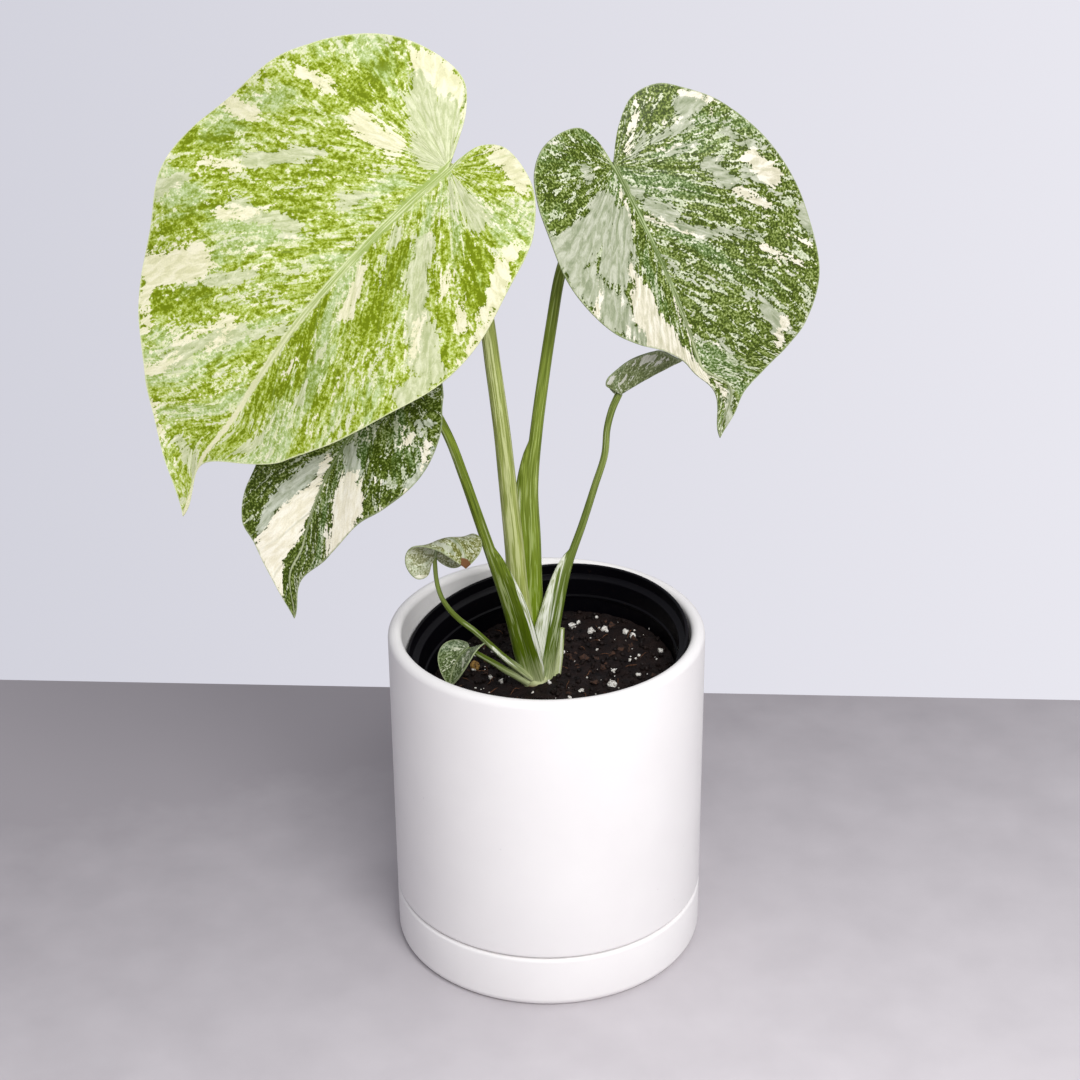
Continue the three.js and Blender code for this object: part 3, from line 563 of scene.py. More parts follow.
# Blades
# Heart-shaped leaf blades, leathery and under a millimetre thick. Cells without chlorophyll leave cream
# and sage streaks that follow the side veins, peppered down to single flecks. Each leaf is laid out flat
# as it would press in a book, and then folded, rolled and arched into its place.
# A leaf is given in millimetres and degrees: where its stalk ends and which way its tip and its face point,
# how it folds at the keel, rolls to its margins, arches lengthwise and bows and hooks aside, and how its
# margin waves (height, length, phase). Outlines and patches are (along, across) on the pressed leaf.
fan = 0.45  # share of the margin whose veins spring from the stalk's end, before the midrib sends any
tip_from = 0.72  # share of the length at which the tip begins


def into_tip(along, length):
    """How far into its narrow tip the leaf is at a place along it, as a rise and fall of a sine."""
    return math.sin(math.pi * max(0, (along / length - tip_from) / (1 - tip_from))) ** 2


def press_half(leaf, outline, side, rows, columns):
    """One half of the pressed leaf as rows of veins, each a list of (along, across) in millimetres."""
    margin = smooth_route(outline)
    half = []
    for i in range(rows + 1):
        share = i / rows
        past = max(0, (share - fan) / (1 - fan))
        root = Vector((leaf["length"] * past ** 1.75, 0))
        reach = place_on(margin, share)[0] - root
        sweep = 0.03 * (1 - share / fan) if share < fan else -0.025 * math.sin(math.pi * past)
        aside = Vector((reach.y, -reach.x)) * side * sweep
        shares = [(j / columns) ** 1.25 for j in range(columns + 1)]
        half.append([root + reach * t + aside * 4 * t * (1 - t) for t in shares])
    return half


def blade_bender(leaf):
    """Gives the function that takes a place on the pressed leaf to its place on the plant, in mm."""
    tip = Vector(leaf["to_tip"]).normalized()
    face = Vector(leaf["face"])
    face = (face - tip * face.dot(tip)).normalized()
    sideways = tip.cross(face)
    start, length = Vector(leaf["attach"]), leaf["length"]
    keel, half_width = leaf["keel"], leaf["half_width"]
    fold, arch = math.radians(leaf["fold"]), math.radians(leaf["arch"]) / length
    hinge_radius, turn = keel / fold, math.radians(leaf["roll"]) / (half_width - keel)
    height, wave, phase = leaf["wave"]

    def bend(along, across):
        width, side = abs(across), (across > 0) - (across < 0)
        hinge, over_hinge = min(width, keel) / hinge_radius, max(width - keel, 0)
        slope = fold - turn * over_hinge
        out = hinge_radius * math.sin(hinge) + (math.sin(fold) - math.sin(slope)) / turn
        lift = hinge_radius * (1 - math.cos(hinge)) + (math.cos(slope) - math.cos(fold)) / turn
        lift += height * (width / half_width) ** 2 * math.sin(2 * math.pi * along / wave + phase * side)
        share = min(max(along / length, 0), 1)
        bow = leaf["bow"] * math.sin(math.pi * share) + leaf["hook"] * into_tip(share, 1)
        swing = arch * along
        up = face * math.cos(swing) + tip * math.sin(swing)
        return (start + (tip * math.sin(swing) + face * (math.cos(swing) - 1)) / arch
                + sideways * (bow + side * out) + up * lift)

    return bend


def patch_weight(leaf, kind, spot):
    """How strongly the listed patches of one tissue claim a spot of the pressed leaf, 0 to 1.
    A patch is a lens: (along, across, width) at one end and at the other, in millimetres."""
    most, least_soft = 0.0, min(8, leaf["half_width"] / 9)
    for a0, c0, w0, a1, c1, w1 in leaf["patches"].get(kind, ()):
        start, run = Vector((a0, c0)), Vector((a1 - a0, c1 - c0))
        t = min(max((spot - start).dot(run) / run.length_squared, 0), 1)
        inside = 0.5 * (w0 + (w1 - w0) * t) - (spot - start - run * t).length
        soft = max(least_soft, 0.4 * w0, 0.4 * w1)
        most = max(most, min(max(0.35 + inside / soft, 0), 1))
    return most


def make_blade(leaf_name, leaf, top, underside, rows, columns):
    """Builds one blade: its upper skin as a grid of veins, drawn down into the lower skin."""
    halves = {side: press_half(leaf, leaf[word], side, rows, columns)
              for side, word in ((1, "left"), (-1, "right"))}
    spacing, well_out = [0.0], columns * 2 // 3
    for i in range(rows):
        steps = [(half[i + 1][well_out] - half[i][well_out]).length for half in halves.values()]
        spacing.append(spacing[-1] + sum(steps) / 2)
    bend = blade_bender(leaf)
    bm = bmesh.new()
    veins, pressed, beneath = (bm.verts.layers.float_vector.new(name)
                               for name in ("veins", "pressed", "beneath"))
    marbling = bm.verts.layers.float_color.new("marbling")
    for spot in bmesh.ops.create_grid(bm, x_segments=2 * columns, y_segments=rows, size=1)["verts"]:
        i, j = round((spot.co.y + 1) / 2 * rows), round(spot.co.x * columns)
        side = 1 if j > 0 else -1
        flat = halves[side][i][abs(j)]
        along, across = flat
        aside = across + leaf["rib_drift"] * into_tip(along, leaf["length"])
        centre = bend(along, across)
        down, sideways = bend(along + 0.2, across) - centre, bend(along, across + 0.2) - centre
        normal = sideways.cross(down).normalized()
        share, out = i / rows, abs(j) / columns
        pillow = abs(math.sin(math.pi * spacing[i] / leaf["vein_gap"])) - 0.6
        quilt = leaf["quilt"] * pillow * 4 * out * (1 - out)
        rib = (1 - share) * math.exp(-(aside / 1.3) ** 2)
        half_thick = 0.4 - 0.15 * out
        spot.co = (centre + normal * (quilt + half_thick - 0.25 * rib)) * MM
        spot[beneath] = (centre + normal * (quilt - half_thick - 0.9 * rib)) * MM
        to_margin = (halves[side][i][columns] - flat).length
        spot[veins] = Vector((spacing[i], side * (flat - halves[side][i][0]).length, to_margin)) * MM
        spot[pressed] = Vector((along, aside, 0)) * MM
        spot[marbling] = [patch_weight(leaf, kind, flat) for kind in ("cream", "sage", "green", "scorch")]
    bmesh.ops.remove_doubles(bm, verts=bm.verts[:], dist=2e-5)
    for part in bmesh.ops.extrude_face_region(bm, geom=bm.faces[:], use_keep_orig=True)["geom"]:
        if isinstance(part, bmesh.types.BMVert):
            part.co = part[beneath]
        elif isinstance(part, bmesh.types.BMFace):
            part.material_index = 1
    bmesh.ops.recalc_face_normals(bm, faces=bm.faces[:])
    bm.verts.layers.float_vector.remove(beneath)
    put_in_scene(bm, f"{leaf_name}_leaf", [top, underside], f"{leaf_name}_blade", crease=55)


# Noise grains, round on the pressed leaf or drawn out along its veins: how wide and long the largest is in
# millimetres, how many finer octaves it carries, and where in the noise it starts.
leaf_grains = [("cells", "pressed", 0.9, 0.9, 2, 0), ("tufts", "pressed", 2.1, 2.1, 3, 31.7),
               ("flecks", "veins", 2.4, 6.5, 4, 3.1), ("islets", "veins", 2.8, 8, 3, 47.3),
               ("streak", "veins", 7.5, 20, 4, 7.7), ("other", "veins", 8, 23, 4, 21.3),
               ("cloud", "veins", 26, 48, 1, 13.9)]
# What each tissue follows: shares of the grains, and of the places listed for it.
tissue_fields = {
    "mottle": {"cells": 0.6, "tufts": 0.3, "flecks": 0.3, "cloud": 0.1, "leafy": -0.05},
    "fine": {"cells": 0.5, "tufts": 0.5},
    "cool": {"cloud": 0.7, "flecks": 0.3},
    "island": {"islets": 1.0, "cells": 0.4, "tufts": 0.2, "cloud": 0.15, "leafy": -0.035, "sagey": 0.05},
    "sage": {"streak": 0.9, "flecks": 0.7, "tufts": 0.45, "cells": 0.3, "cloud": 0.15, "sagey": 0.62,
             "leafy": -0.4, "creamy": 0.1},
    "cream": {"other": 0.9, "flecks": 0.7, "tufts": 0.45, "cells": 0.3, "cloud": 0.15, "creamy": 0.68,
              "leafy": -0.4, "sagey": -0.1},
}
# Where along its field each tissue's tones stand.
tone_stops = {"olive": ("mottle", 0.575, 0.63, 0.69, 0.76), "cool": ("mottle", 0.575, 0.63, 0.69, 0.76),
              "island": ("fine", 0.38, 0.5, 0.6), "sage": ("flecks", 0.36, 0.48, 0.64),
              "cream": ("flecks", 0.36, 0.5, 0.62)}
# How softly each pale tissue begins over the green, and how much it covers.
covering = {"cool": (0.14, 1.0), "island": (0.03, 0.92), "sage": (0.03, 0.95), "cream": (0.03, 0.97)}


def marbled_leaf(name, leaf, look, faded=0.0):
    """Variegated monstera skin: green peppered with pale cells and broken by sage and cream streaks.
    The look holds its colours, and how much of each pale tissue it has; faded whitens an underside."""
    skin, shader = fresh_material(name)
    layers = {layer: node(skin, "Attribute", {}, attribute_name=layer).outputs["Vector"]
              for layer in ("veins", "pressed")}
    marbling = node(skin, "Attribute", {}, attribute_name="marbling").outputs
    placed = node(skin, "SeparateColor", {"Color": marbling["Color"]}).outputs
    grains = {"creamy": placed[0], "sagey": placed[1], "leafy": placed[2]}
    for grain, layer, wide, long, octaves, shift in leaf_grains:
        aligned = node(skin, "Mapping", {"Vector": layers[layer], "Scale": per_mm(wide, long, 1),
                                         "Location": (shift, shift * 0.7, 0)})
        grains[grain] = node(skin, "TexNoise", {
            "Vector": aligned, "Scale": 1.0, "Detail": octaves, "Roughness": 0.62,
            "Distortion": 0.4 if long > 6 else 0.0}, noise_dimensions="2D")
    fields = {"flecks": grains["flecks"]}
    for field, shares in {**tissue_fields, **look["fields"]}.items():
        fields[field] = 0.0
        for grain, share in shares.items():
            fields[field] = node(skin, "Math", {0: grains[grain], 1: share, 2: fields[field]},
                                 operation="MULTIPLY_ADD")
    tones = {tissue: node(skin, "ValToRGB", {"Fac": fields[field]}, zip(stops, look[tissue]))
             for tissue, (field, *stops) in tone_stops.items()}
    layered = []
    for tissue, (soft, most) in covering.items():
        level = look["levels"][tissue]
        covers = node(skin, "MapRange", {
            "Value": fields[tissue], "From Min": level, "From Max": level + soft, "To Max": most},
            interpolation_type="SMOOTHSTEP")
        layered.append((covers, tones[tissue]))

    # Side veins: thin lines of the midrib's green, fading towards the margin.
    green, pale = (tint(colour) for colour in look["rib"])
    vein_run = node(skin, "SeparateXYZ", {"Vector": layers["veins"]}).outputs
    beat = node(skin, "Math", {0: vein_run["X"], 1: leaf["vein_gap"] * MM / 2}, operation="PINGPONG")
    lateral = node(skin, "MapRange", {"Value": beat, "From Min": 0.7 * MM, "From Max": 0.15 * MM})
    out = node(skin, "Math", {0: vein_run["Y"]}, operation="ABSOLUTE")
    fading = node(skin, "MapRange", {"Value": out, "From Min": leaf["half_width"] * 0.8 * MM,
                                     "From Max": 2 * MM, "To Max": look["lateral"]})
    on_lateral = node(skin, "Math", {0: lateral, 1: fading}, operation="MULTIPLY")

    # Midrib: pale threads over green, paler and narrower towards the tip, with a wandering edge.
    flat, length = node(skin, "SeparateXYZ", {"Vector": layers["pressed"]}).outputs, leaf["length"] * MM
    from_rib = node(skin, "Math", {0: flat["Y"]}, operation="ABSOLUTE")
    widest = look["rib_width"] * MM
    rib_width = node(skin, "MapRange", {"Value": flat["X"], "From Max": length, "To Min": widest,
                                        "To Max": 0.3 * widest})
    along_rib = node(skin, "Mapping", {"Vector": layers["pressed"], "Scale": per_mm(24, 0.8, 1)})
    thread = node(skin, "TexNoise", {"Vector": along_rib, "Scale": 1.0, "Detail": 2.0},
                  noise_dimensions="2D")
    threads = node(skin, "MapRange", {"Value": thread, "From Min": 0.44, "From Max": 0.6})
    paler = node(skin, "MapRange", {"Value": flat["X"], "From Min": 0.35 * length,
                                    "From Max": 0.75 * length, "To Max": look["rib_pale"]})
    rib_tone = green
    for share, colour in ((threads, pale), (paler, tint(look["cream"][1]))):
        rib_tone = node(skin, "Mix", {factor: share, under: rib_tone, over: colour}, data_type="RGBA")
    nearness = node(skin, "Math", {0: from_rib, 1: rib_width}, operation="DIVIDE")
    wander = node(skin, "Math", {0: grains["tufts"], 1: 2.0, 2: nearness}, operation="MULTIPLY_ADD")
    on_rib = node(skin, "MapRange", {"Value": wander, "From Min": 2.15, "From Max": 1.75, "To Max": 0.95})

    # A pale rim as wide as a thread, and the brown paper of a scorched corner.
    rim = node(skin, "Math", {0: grains["tufts"], 1: 1.2 * MM, 2: vein_run["Z"]}, operation="MULTIPLY_ADD")
    on_rim = node(skin, "MapRange", {"Value": rim, "From Min": 1.3 * MM, "From Max": 0.8 * MM,
                                     "To Max": 0.7})
    scorched = node(skin, "Math", {0: grains["tufts"], 1: 0.8, 2: marbling["Alpha"]},
                    operation="MULTIPLY_ADD")
    on_scorch = node(skin, "MapRange", {"Value": scorched, "From Min": 0.86, "From Max": 0.98})
    layered += [(on_lateral, green), (on_rib, rib_tone), (on_rim, tint(look["rim"])),
                (on_scorch, tint("#6d4a2c")), (0.3 * faded, tint("#c9d2ae"))]
    blend = tones["olive"]
    for share, colour in layered:
        blend = node(skin, "Mix", {factor: share, under: blend, over: colour}, data_type="RGBA")

    grain = node(skin, "TexNoise", {"Vector": layers["pressed"], "Scale": per_mm(0.6), "Detail": 2.0})
    shade = node(skin, "MapRange", {"Value": grain, "From Min": 0.3, "From Max": 0.7, "To Min": 0.94,
                                    "To Max": 1.06})
    veined = node(skin, "Math", {0: on_lateral, 1: -0.8 + 1.6 * faded, 2: fields["fine"]},
                  operation="MULTIPLY_ADD")
    feed(skin, shader, {
        "Base Color": node(skin, "HueSaturation", {"Value": shade, "Color": blend,
                                                   "Saturation": 1 - 0.25 * faded}),
        "Roughness": node(skin, "MapRange", {"Value": grains["flecks"], "To Min": 0.38 + 0.2 * faded,
                                             "To Max": 0.54 + 0.2 * faded}),
        "Normal": node(skin, "Bump", {"Strength": 0.3, "Distance": 0.2 * MM, "Height": veined}),
        "Specular IOR Level": 0.2})
    return skin


# The big pale blade
# The plant's largest leaf, hung face forward and to the left: yellow-green flecked all over, with sage
# and cream patches and a pale double midrib.
leaf_1 = {
    "attach": (-35, -2, 337), "to_tip": (-0.66, -0.24, -0.71), "face": (-0.24, -0.83, 0.5), "length": 171,
    "half_width": 75, "fold": 14, "keel": 8, "roll": 20, "arch": 16, "bow": 8, "hook": 10, "rib_drift": 7,
    "wave": (1.6, 62, 0.5), "vein_gap": 19, "quilt": 0.3,
    "left": [(0, 0), (-10, 4), (-20, 9), (-28, 17), (-29, 30), (-23, 50), (-9, 67), (8, 77), (32, 81),
        (53, 84), (72, 81), (90, 71), (110, 61), (124, 50), (136, 34), (148, 18), (160, 10), (171, 0)],
    "right": [(0, 0), (-6, -1), (-14, -4), (-19, -12), (-17, -27), (-12, -36), (0, -46), (18, -54),
        (40, -61), (62, -61), (84, -53), (104, -43), (121, -31), (136, -20), (150, -7), (160, -3),
        (171, 0)],
    "patches": {
        "cream": [(-24, 33, 9, -25, 18, 9), (-25, 18, 8, -19, 9, 3), (8, 38, 8, 7, 20, 9),
            (8, 66, 6, 7, 54, 6), (37, 85, 4, 33, 68, 5), (68, 51, 6, 55, 36, 4), (103, 60, 14, 89, 46, 14),
            (101, 63, 5, 119, 50, 5), (114, 56, 5, 122, 48, 3), (118, 35, 3, 97, 21, 5),
            (46, -38, 2, 60, -46, 4), (30, -44, 2, 40, -52, 4), (49, -5, 2, 66, -13, 6),
            (30, -33, 4, 35, -37, 4), (-16, -12, 6, -14, -28, 9), (8, -44, 6, 30, -54, 9),
            (27, -57, 4, 51, -63, 4), (89, -8, 2, 105, -11, 3), (143, 24, 3, 150, 15, 3),
            (101, 20, 4, 112, 23, 3), (58, 70, 2, 51, 58, 3), (120, 32, 2, 134, 34, 2)],
        "sage": [(-20, 32, 9, -2, 8, 16), (-21, 17, 10, -4, 5, 12), (46, 56, 4, 27, 37, 6),
            (63, 49, 6, 54, 28, 9), (128, 32, 3, 101, 21, 3), (124, 36, 3, 98, 16, 5),
            (96, 12, 3, 85, 1, 3), (101, 45, 2, 78, 25, 4), (30, -5, 2, 37, -9, 4),
            (40, -10, 4, 50, -17, 5), (28, -17, 9, 43, -32, 10), (43, -32, 8, 58, -51, 13),
            (57, -57, 8, 74, -54, 5), (3, -6, 4, 8, -26, 10), (148, 6, 4, 153, -5, 3),
            (84, -15, 3, 102, -21, 4), (124, -16, 4, 134, -15, 3), (78, 77, 5, 69, 70, 4),
            (35, 19, 4, 28, 14, 3)],
        "green": [(57, 39, 6, 48, 25, 6), (110, 50, 7, 97, 37, 10), (63, -24, 8, 36, -15, 10),
            (64, -1, 4, 79, -6, 7), (83, -2, 8, 97, -26, 8), (44, -12, 5, 52, -22, 5),
            (56, 81, 10, 40, 67, 8), (-15, 43, 10, 0, 44, 12), (82, 63, 10, 66, 55, 8),
            (112, -5, 6, 86, -24, 7), (15, -29, 9, 28, -50, 10)],
    },
}
pale_look = {
    "olive": ("#6c7e00", "#8fa21e", "#afbf5c", "#ccd890"),
    "cool": ("#83983a", "#9cb262", "#b0c282", "#c8d6a2"), "island": ("#c6d08e", "#d6dca8", "#e8e9c6"),
    "sage": ("#b2bb89", "#c3c99c", "#d9dcb8"), "cream": ("#d8d6aa", "#e5e2bb", "#efebcb"),
    "rib": ("#9db060", "#d3dba6"), "rib_width": 2.3, "rib_pale": 1.0, "lateral": 0.35, "rim": "#dde2b4",
    "levels": {"cool": 0.48, "island": 0.94, "sage": 1.405, "cream": 1.46},
    "fields": {
        "mottle": {"cells": 0.28, "tufts": 0.34, "flecks": 0.32, "islets": 0.3, "cloud": 0.12,
            "leafy": -0.1},
        "island": {"islets": 0.7, "streak": 0.4, "tufts": 0.35, "cells": 0.15, "cloud": 0.15,
            "leafy": -0.12, "sagey": 0.05},
    },
}
make_blade("leaf_1", leaf_1, marbled_leaf("pale_marbled_leaf", leaf_1, pale_look),
           marbled_leaf("pale_leaf_underside", leaf_1, pale_look, faded=1.0), 170, 62)


# The second and third blades
# Two darker leaves, to the right and low on the left: deep green peppered with sage, their halves
# unlike each other, with broad pale stretches beside the midrib.
leaf_2 = {
    "attach": (27, 16, 332), "to_tip": (0.43, -0.22, -0.87), "face": (0.4, -0.82, 0.41), "length": 117,
    "half_width": 60, "fold": 20, "keel": 6, "roll": 18, "arch": 18, "bow": -2, "hook": -6, "rib_drift": 4,
    "wave": (1.4, 48, 1.4), "vein_gap": 15, "quilt": 0.3,
    "left": [(0, 0), (-6, 0.5), (-12, 2), (-18, 6), (-20, 15), (-18, 28), (-11, 37), (0, 42), (12, 44),
        (30, 45), (43, 42), (54, 36), (63, 27), (72, 15), (82, 6), (92, 3), (104, 3), (117, 0)],
    "right": [(0, 0), (-5, -3), (-13, -9), (-20, -18), (-20, -29), (-14, -38), (-4, -49), (8, -56),
        (26, -61), (44, -64), (62, -61), (76, -56), (87, -47), (93, -34), (98, -20), (104, -9), (111, -6),
        (117, 0)],
    "patches": {
        "cream": [(9, 3, 2, 25, 5, 2), (36, 16, 5, 50, 16, 8), (49, 18, 12, 66, 16, 18),
            (69, 13, 15, 89, 2, 9), (90, -1, 4, 103, 0, 2), (35, 32, 2, 46, 41, 2), (44, 26, 2, 54, 30, 2),
            (46, 38, 0, 62, 26, 0), (-13, 0, 2, -4, 0, 2), (-14, -35, 2, -5, -47, 3),
            (-12, -16, 2, -3, -7, 2), (-2, -44, 2, -1, -44, 2), (19, -50, 6, 31, -54, 8),
            (28, -38, 3, 39, -48, 5), (23, -2, 1, 44, -23, 1), (53, -40, 3, 66, -51, 4),
            (83, -38, 4, 94, -28, 2), (57, 1, 1, 77, 0, 2), (87, 2, 2, 105, -2, 2),
            (53, -51, 2, 60, -58, 2), (-5, -25, 1, -5, -31, 1)],
        "sage": [(12, 14, 12, 21, 37, 16), (18, 8, 9, 33, 23, 16), (32, 38, 13, 52, 28, 13),
            (11, 44, 4, 26, 42, 6), (54, 21, 3, 59, 19, 3), (56, 29, 2, 66, 18, 2), (47, 35, 9, 62, 22, 9),
            (-9, 15, 4, -1, 14, 3), (-8, -34, 7, -8, -41, 6), (-2, -18, 2, -1, -33, 3),
            (-5, -16, 2, 1, -8, 1), (25, -45, 5, 31, -52, 5), (15, -33, 4, 24, -38, 4),
            (5, -22, 2, 6, -32, 2), (10, 0, 3, 26, -10, 6), (31, -11, 3, 40, -21, 4),
            (40, -26, 3, 49, -39, 3), (75, -32, 6, 84, -34, 5), (78, -11, 2, 85, -13, 2),
            (49, -61, 5, 59, -61, 4), (102, -3, 3, 112, -4, 3), (67, -28, 2, 73, -34, 2),
            (38, 0, 1, 46, -4, 1), (51, -11, 1, 58, -17, 2), (7, -45, 2, 15, -51, 2)],
        "green": [(27, 3, 4, 44, 10, 5), (47, 6, 3, 61, 7, 6), (69, 6, 4, 87, -2, 4),
            (-11, 27, 10, -11, 6, 10), (-1, 35, 10, 7, 25, 8), (40, -15, 7, 55, -25, 7),
            (61, -30, 7, 74, -45, 5), (17, -18, 5, 28, -30, 5), (4, -3, 5, 11, -17, 4),
            (66, -9, 5, 89, -20, 5)],
    },
}
leaf_3 = {
    "attach": (-54, -10, 258), "to_tip": (-0.49, -0.36, -0.79), "face": (-0.34, -0.76, 0.56), "length": 106,
    "half_width": 42, "fold": 14, "keel": 5, "roll": 14, "arch": 20, "bow": 10, "hook": 4, "rib_drift": 0,
    "wave": (1.6, 36, 0), "vein_gap": 13, "quilt": 0.25,
    "left": [(0, 0), (-6, 3), (-13, 8), (-16, 18), (-11, 28), (2, 34), (20, 35), (40, 31), (56, 29),
        (70, 30), (80, 27), (86, 18), (94, 10), (101, 5), (106, 0)],
    "right": [(0, 0), (-6, -3), (-10, -9), (-6, -16), (3, -24), (12, -32), (24, -36), (37, -36), (48, -31),
        (58, -23), (70, -17), (84, -9), (95, -4), (106, 0)],
    "patches": {
        "cream": [(41, 3, 3, 55, 3, 6), (56, 3, 7, 70, 7, 13), (72, 8, 14, 83, 11, 14),
            (83, 11, 14, 93, 7, 9), (93, 6, 6, 102, 5, 3), (87, 15, 5, 95, 10, 3),
            (45, -11, 10, 54, -15, 15), (55, -15, 15, 73, -16, 8), (49, -19, 5, 58, -20, 2),
            (18, -31, 2, 28, -35, 4), (18, -23, 1, 22, -23, 2), (38, -35, 2, 38, -37, 2),
            (38, -19, 1, 41, -23, 2)],
        "sage": [(45, 5, 5, 64, 13, 8), (67, 17, 5, 79, 19, 5), (36, -2, 6, 40, -11, 7),
            (27, -35, 4, 35, -35, 4), (13, -21, 2, 11, -27, 3)],
        "green": [(39, 0, 2, 51, -5, 4), (60, -5, 5, 77, -2, 9), (83, -1, 8, 98, 1, 6),
            (98, 1, 5, 105, 2, 4), (34, -13, 11, 30, -30, 11), (13, -8, 9, 8, -18, 9),
            (63, 27, 6, 79, 24, 5), (45, -26, 5, 42, -33, 4), (54, 18, 4, 62, 21, 4)],
    },
}
dark_look = {
    "olive": ("#344200", "#546618", "#76863a", "#a0ac72"),
    "cool": ("#384e14", "#546d30", "#788d56", "#a2b086"), "island": ("#a4ae86", "#bcc4a4", "#d8dbc2"),
    "sage": ("#8a9374", "#a1a78c", "#bcbfaa"), "cream": ("#c6c2a6", "#d8d3bb", "#e9e4d2"),
    "rib": ("#56682f", "#a3b17e"), "rib_width": 1.4, "rib_pale": 0.2, "lateral": 0.5, "rim": "#9aa57c",
    "levels": {"cool": 0.5, "island": 0.955, "sage": 1.42, "cream": 1.49}, "fields": {},
}
# Leaf 3's cream and sage are painted lighter than the dark look's: painted light lifting the shade that
# leaf 1 casts on it.
shade_lifted_look = {
    **dark_look, "cream": ("#ece5ca", "#f5efd8", "#fcf7e4"), "sage": ("#9da58a", "#b9bfa8", "#d2d6c6"),
    "rib_width": 1.0, "lateral": 0.3,
}
for leaf_name, leaf, look, rows, columns in (("leaf_2", leaf_2, dark_look, 150, 54),
                                             ("leaf_3", leaf_3, shade_lifted_look, 130, 46)):
    make_blade(leaf_name, leaf, marbled_leaf(f"dark_marbled_{leaf_name}", leaf, look),
               marbled_leaf(f"dark_underside_{leaf_name}", leaf, look, faded=1.0), rows, columns)


# The folded blade and the two small ones
# A young leaf still folded along its midrib, so its underside shows, a small one curled over like a hood
# with a scorched tip, and the smallest, low over the mix.
leaf_4 = {
    "attach": (29.9, 16.5, 239.2), "to_tip": (0.7, 0.69, 0.15), "face": (-0.01, -0.2, 0.98), "length": 38,
    "half_width": 13, "fold": 86, "keel": 1.6, "roll": 3, "arch": 7, "bow": 0, "hook": 0, "rib_drift": 0,
    "wave": (0.5, 22, 0), "vein_gap": 7, "quilt": 0.12,
    "left": [(0, 0), (-2.6, 2.4), (-6, 6), (-9.5, 9.8), (-9, 13), (-5, 15), (1, 15.2), (8, 14), (15, 14),
        (20, 12.6), (25, 8.7), (31, 4.4), (38, 0)],
    "right": [(0, 0), (-2, -1), (-4, -3.5), (-5, -7), (-2, -9.6), (6, -11), (16, -11), (26, -8), (32, -4.2),
        (38, 0)],
    "patches": {
        "sage": [(11.5, 11.5, 4, 17, 10.5, 3.5), (-1, 6.5, 2.5, 1.5, 8.5, 2.5),
            (-7.5, 10.5, 2, -6.5, 12, 3), (4.5, 12, 1, 5.5, 12, 1), (20, 6.5, 1, 23, 5.5, 1),
            (24, 7, 1.2, 28, 4, 1.2), (15, -8, 3, 22, -6, 3), (0, -7, 2, 3, -8, 2)],
    },
}
leaf_5 = {
    "attach": (-44, -18, 184.6), "to_tip": (0.05, 0.2, 0.98), "face": (-0.73, 0.68, -0.1), "length": 29,
    "half_width": 16, "fold": -10, "keel": 4, "roll": -19, "arch": 190, "bow": 0, "hook": 0, "rib_drift": 0,
    "wave": (0.5, 20, 0), "vein_gap": 6, "quilt": 0.1,
    "left": [(0, 0), (-3.5, 2.6), (-8, 7.5), (-8.4, 13), (-2.2, 16), (6.5, 15.8), (15, 13), (23.7, 7),
        (29, 0)],
    "right": [(0, 0), (-3.5, -3), (-7, -8), (-6, -13.4), (0, -16), (7.5, -16), (16.5, -14), (24, -9),
        (29, 0)],
    "patches": {
        "cream": [(-8, 8, 2, -8, 14, 2)],
        "sage": [(14, 1, 2, 25, 1, 2), (14, 8, 2, 22, 5, 2)],
        "scorch": [(27, 1, 6, 30, 0, 9), (22, 11, 2, 24, 14, 4)],
    },
}
leaf_6 = {
    "attach": (-31.8, -14, 140.6), "to_tip": (-0.62, -0.78, -0.06), "face": (-0.25, 0.12, 0.96),
    "length": 19.4, "half_width": 13, "fold": 12, "keel": 2.5, "roll": -19, "arch": 66, "bow": 0, "hook": 0,
    "rib_drift": 0, "wave": (0.3, 20, 0), "vein_gap": 5, "quilt": 0.1,
    "left": [(0, 0), (-2.6, 1.8), (-4.6, 5.3), (-3, 9), (1.6, 10.5), (7.3, 9.6), (13, 6.1), (19.4, 0)],
    "right": [(0, 0), (-1.6, -2), (-2.4, -6), (-0.8, -10), (3.4, -11.7), (9, -10.6), (14.6, -6), (19.4, 0)],
    "patches": {
        "sage": [(4, -4, 2, 10, -6, 2)],
    },
}
young_look = {
    **dark_look, "levels": {"cool": 0.5, "island": 0.98, "sage": 1.46, "cream": 1.52}, "rib_width": 0.8,
    "lateral": 0.25,
}
# Leaf 4's greens are paler and greyer than the young look's, partly its own underside colour and partly
# painted light lifting the shade inside its fold.
fold_lifted_look = {
    **young_look, "olive": ("#535f26", "#6a783c", "#828e58", "#aab28a"),
    "cool": ("#4f602c", "#667844", "#7f8e5e", "#aab28a"), "island": ("#b0b896", "#c3c8ae", "#d6d8c6"),
    "sage": ("#b4b8a0", "#cfd0be", "#dfdfd2"),
    "levels": {"cool": 0.5, "island": 1.02, "sage": 1.46, "cream": 1.6},
}
frosted_look = {
    **young_look, "olive": ("#62642a", "#8b8e54", "#a4a681", "#c0c2a4"),
    "cool": ("#677242", "#8c9267", "#a6aa8b", "#c0c2a4"),
    "levels": {"cool": 0.5, "island": 0.92, "sage": 1.38, "cream": 1.52},
}
# Leaf 6's greens are darker and greyer than the young look's.
grey_green_look = {
    **young_look, "olive": ("#3e4c24", "#596a3b", "#79885c", "#a3ad8c"),
    "cool": ("#445438", "#61724d", "#7e8d6c", "#a3ad90"),
    "levels": {"cool": 0.46, "island": 1.0, "sage": 1.48, "cream": 1.6},
}
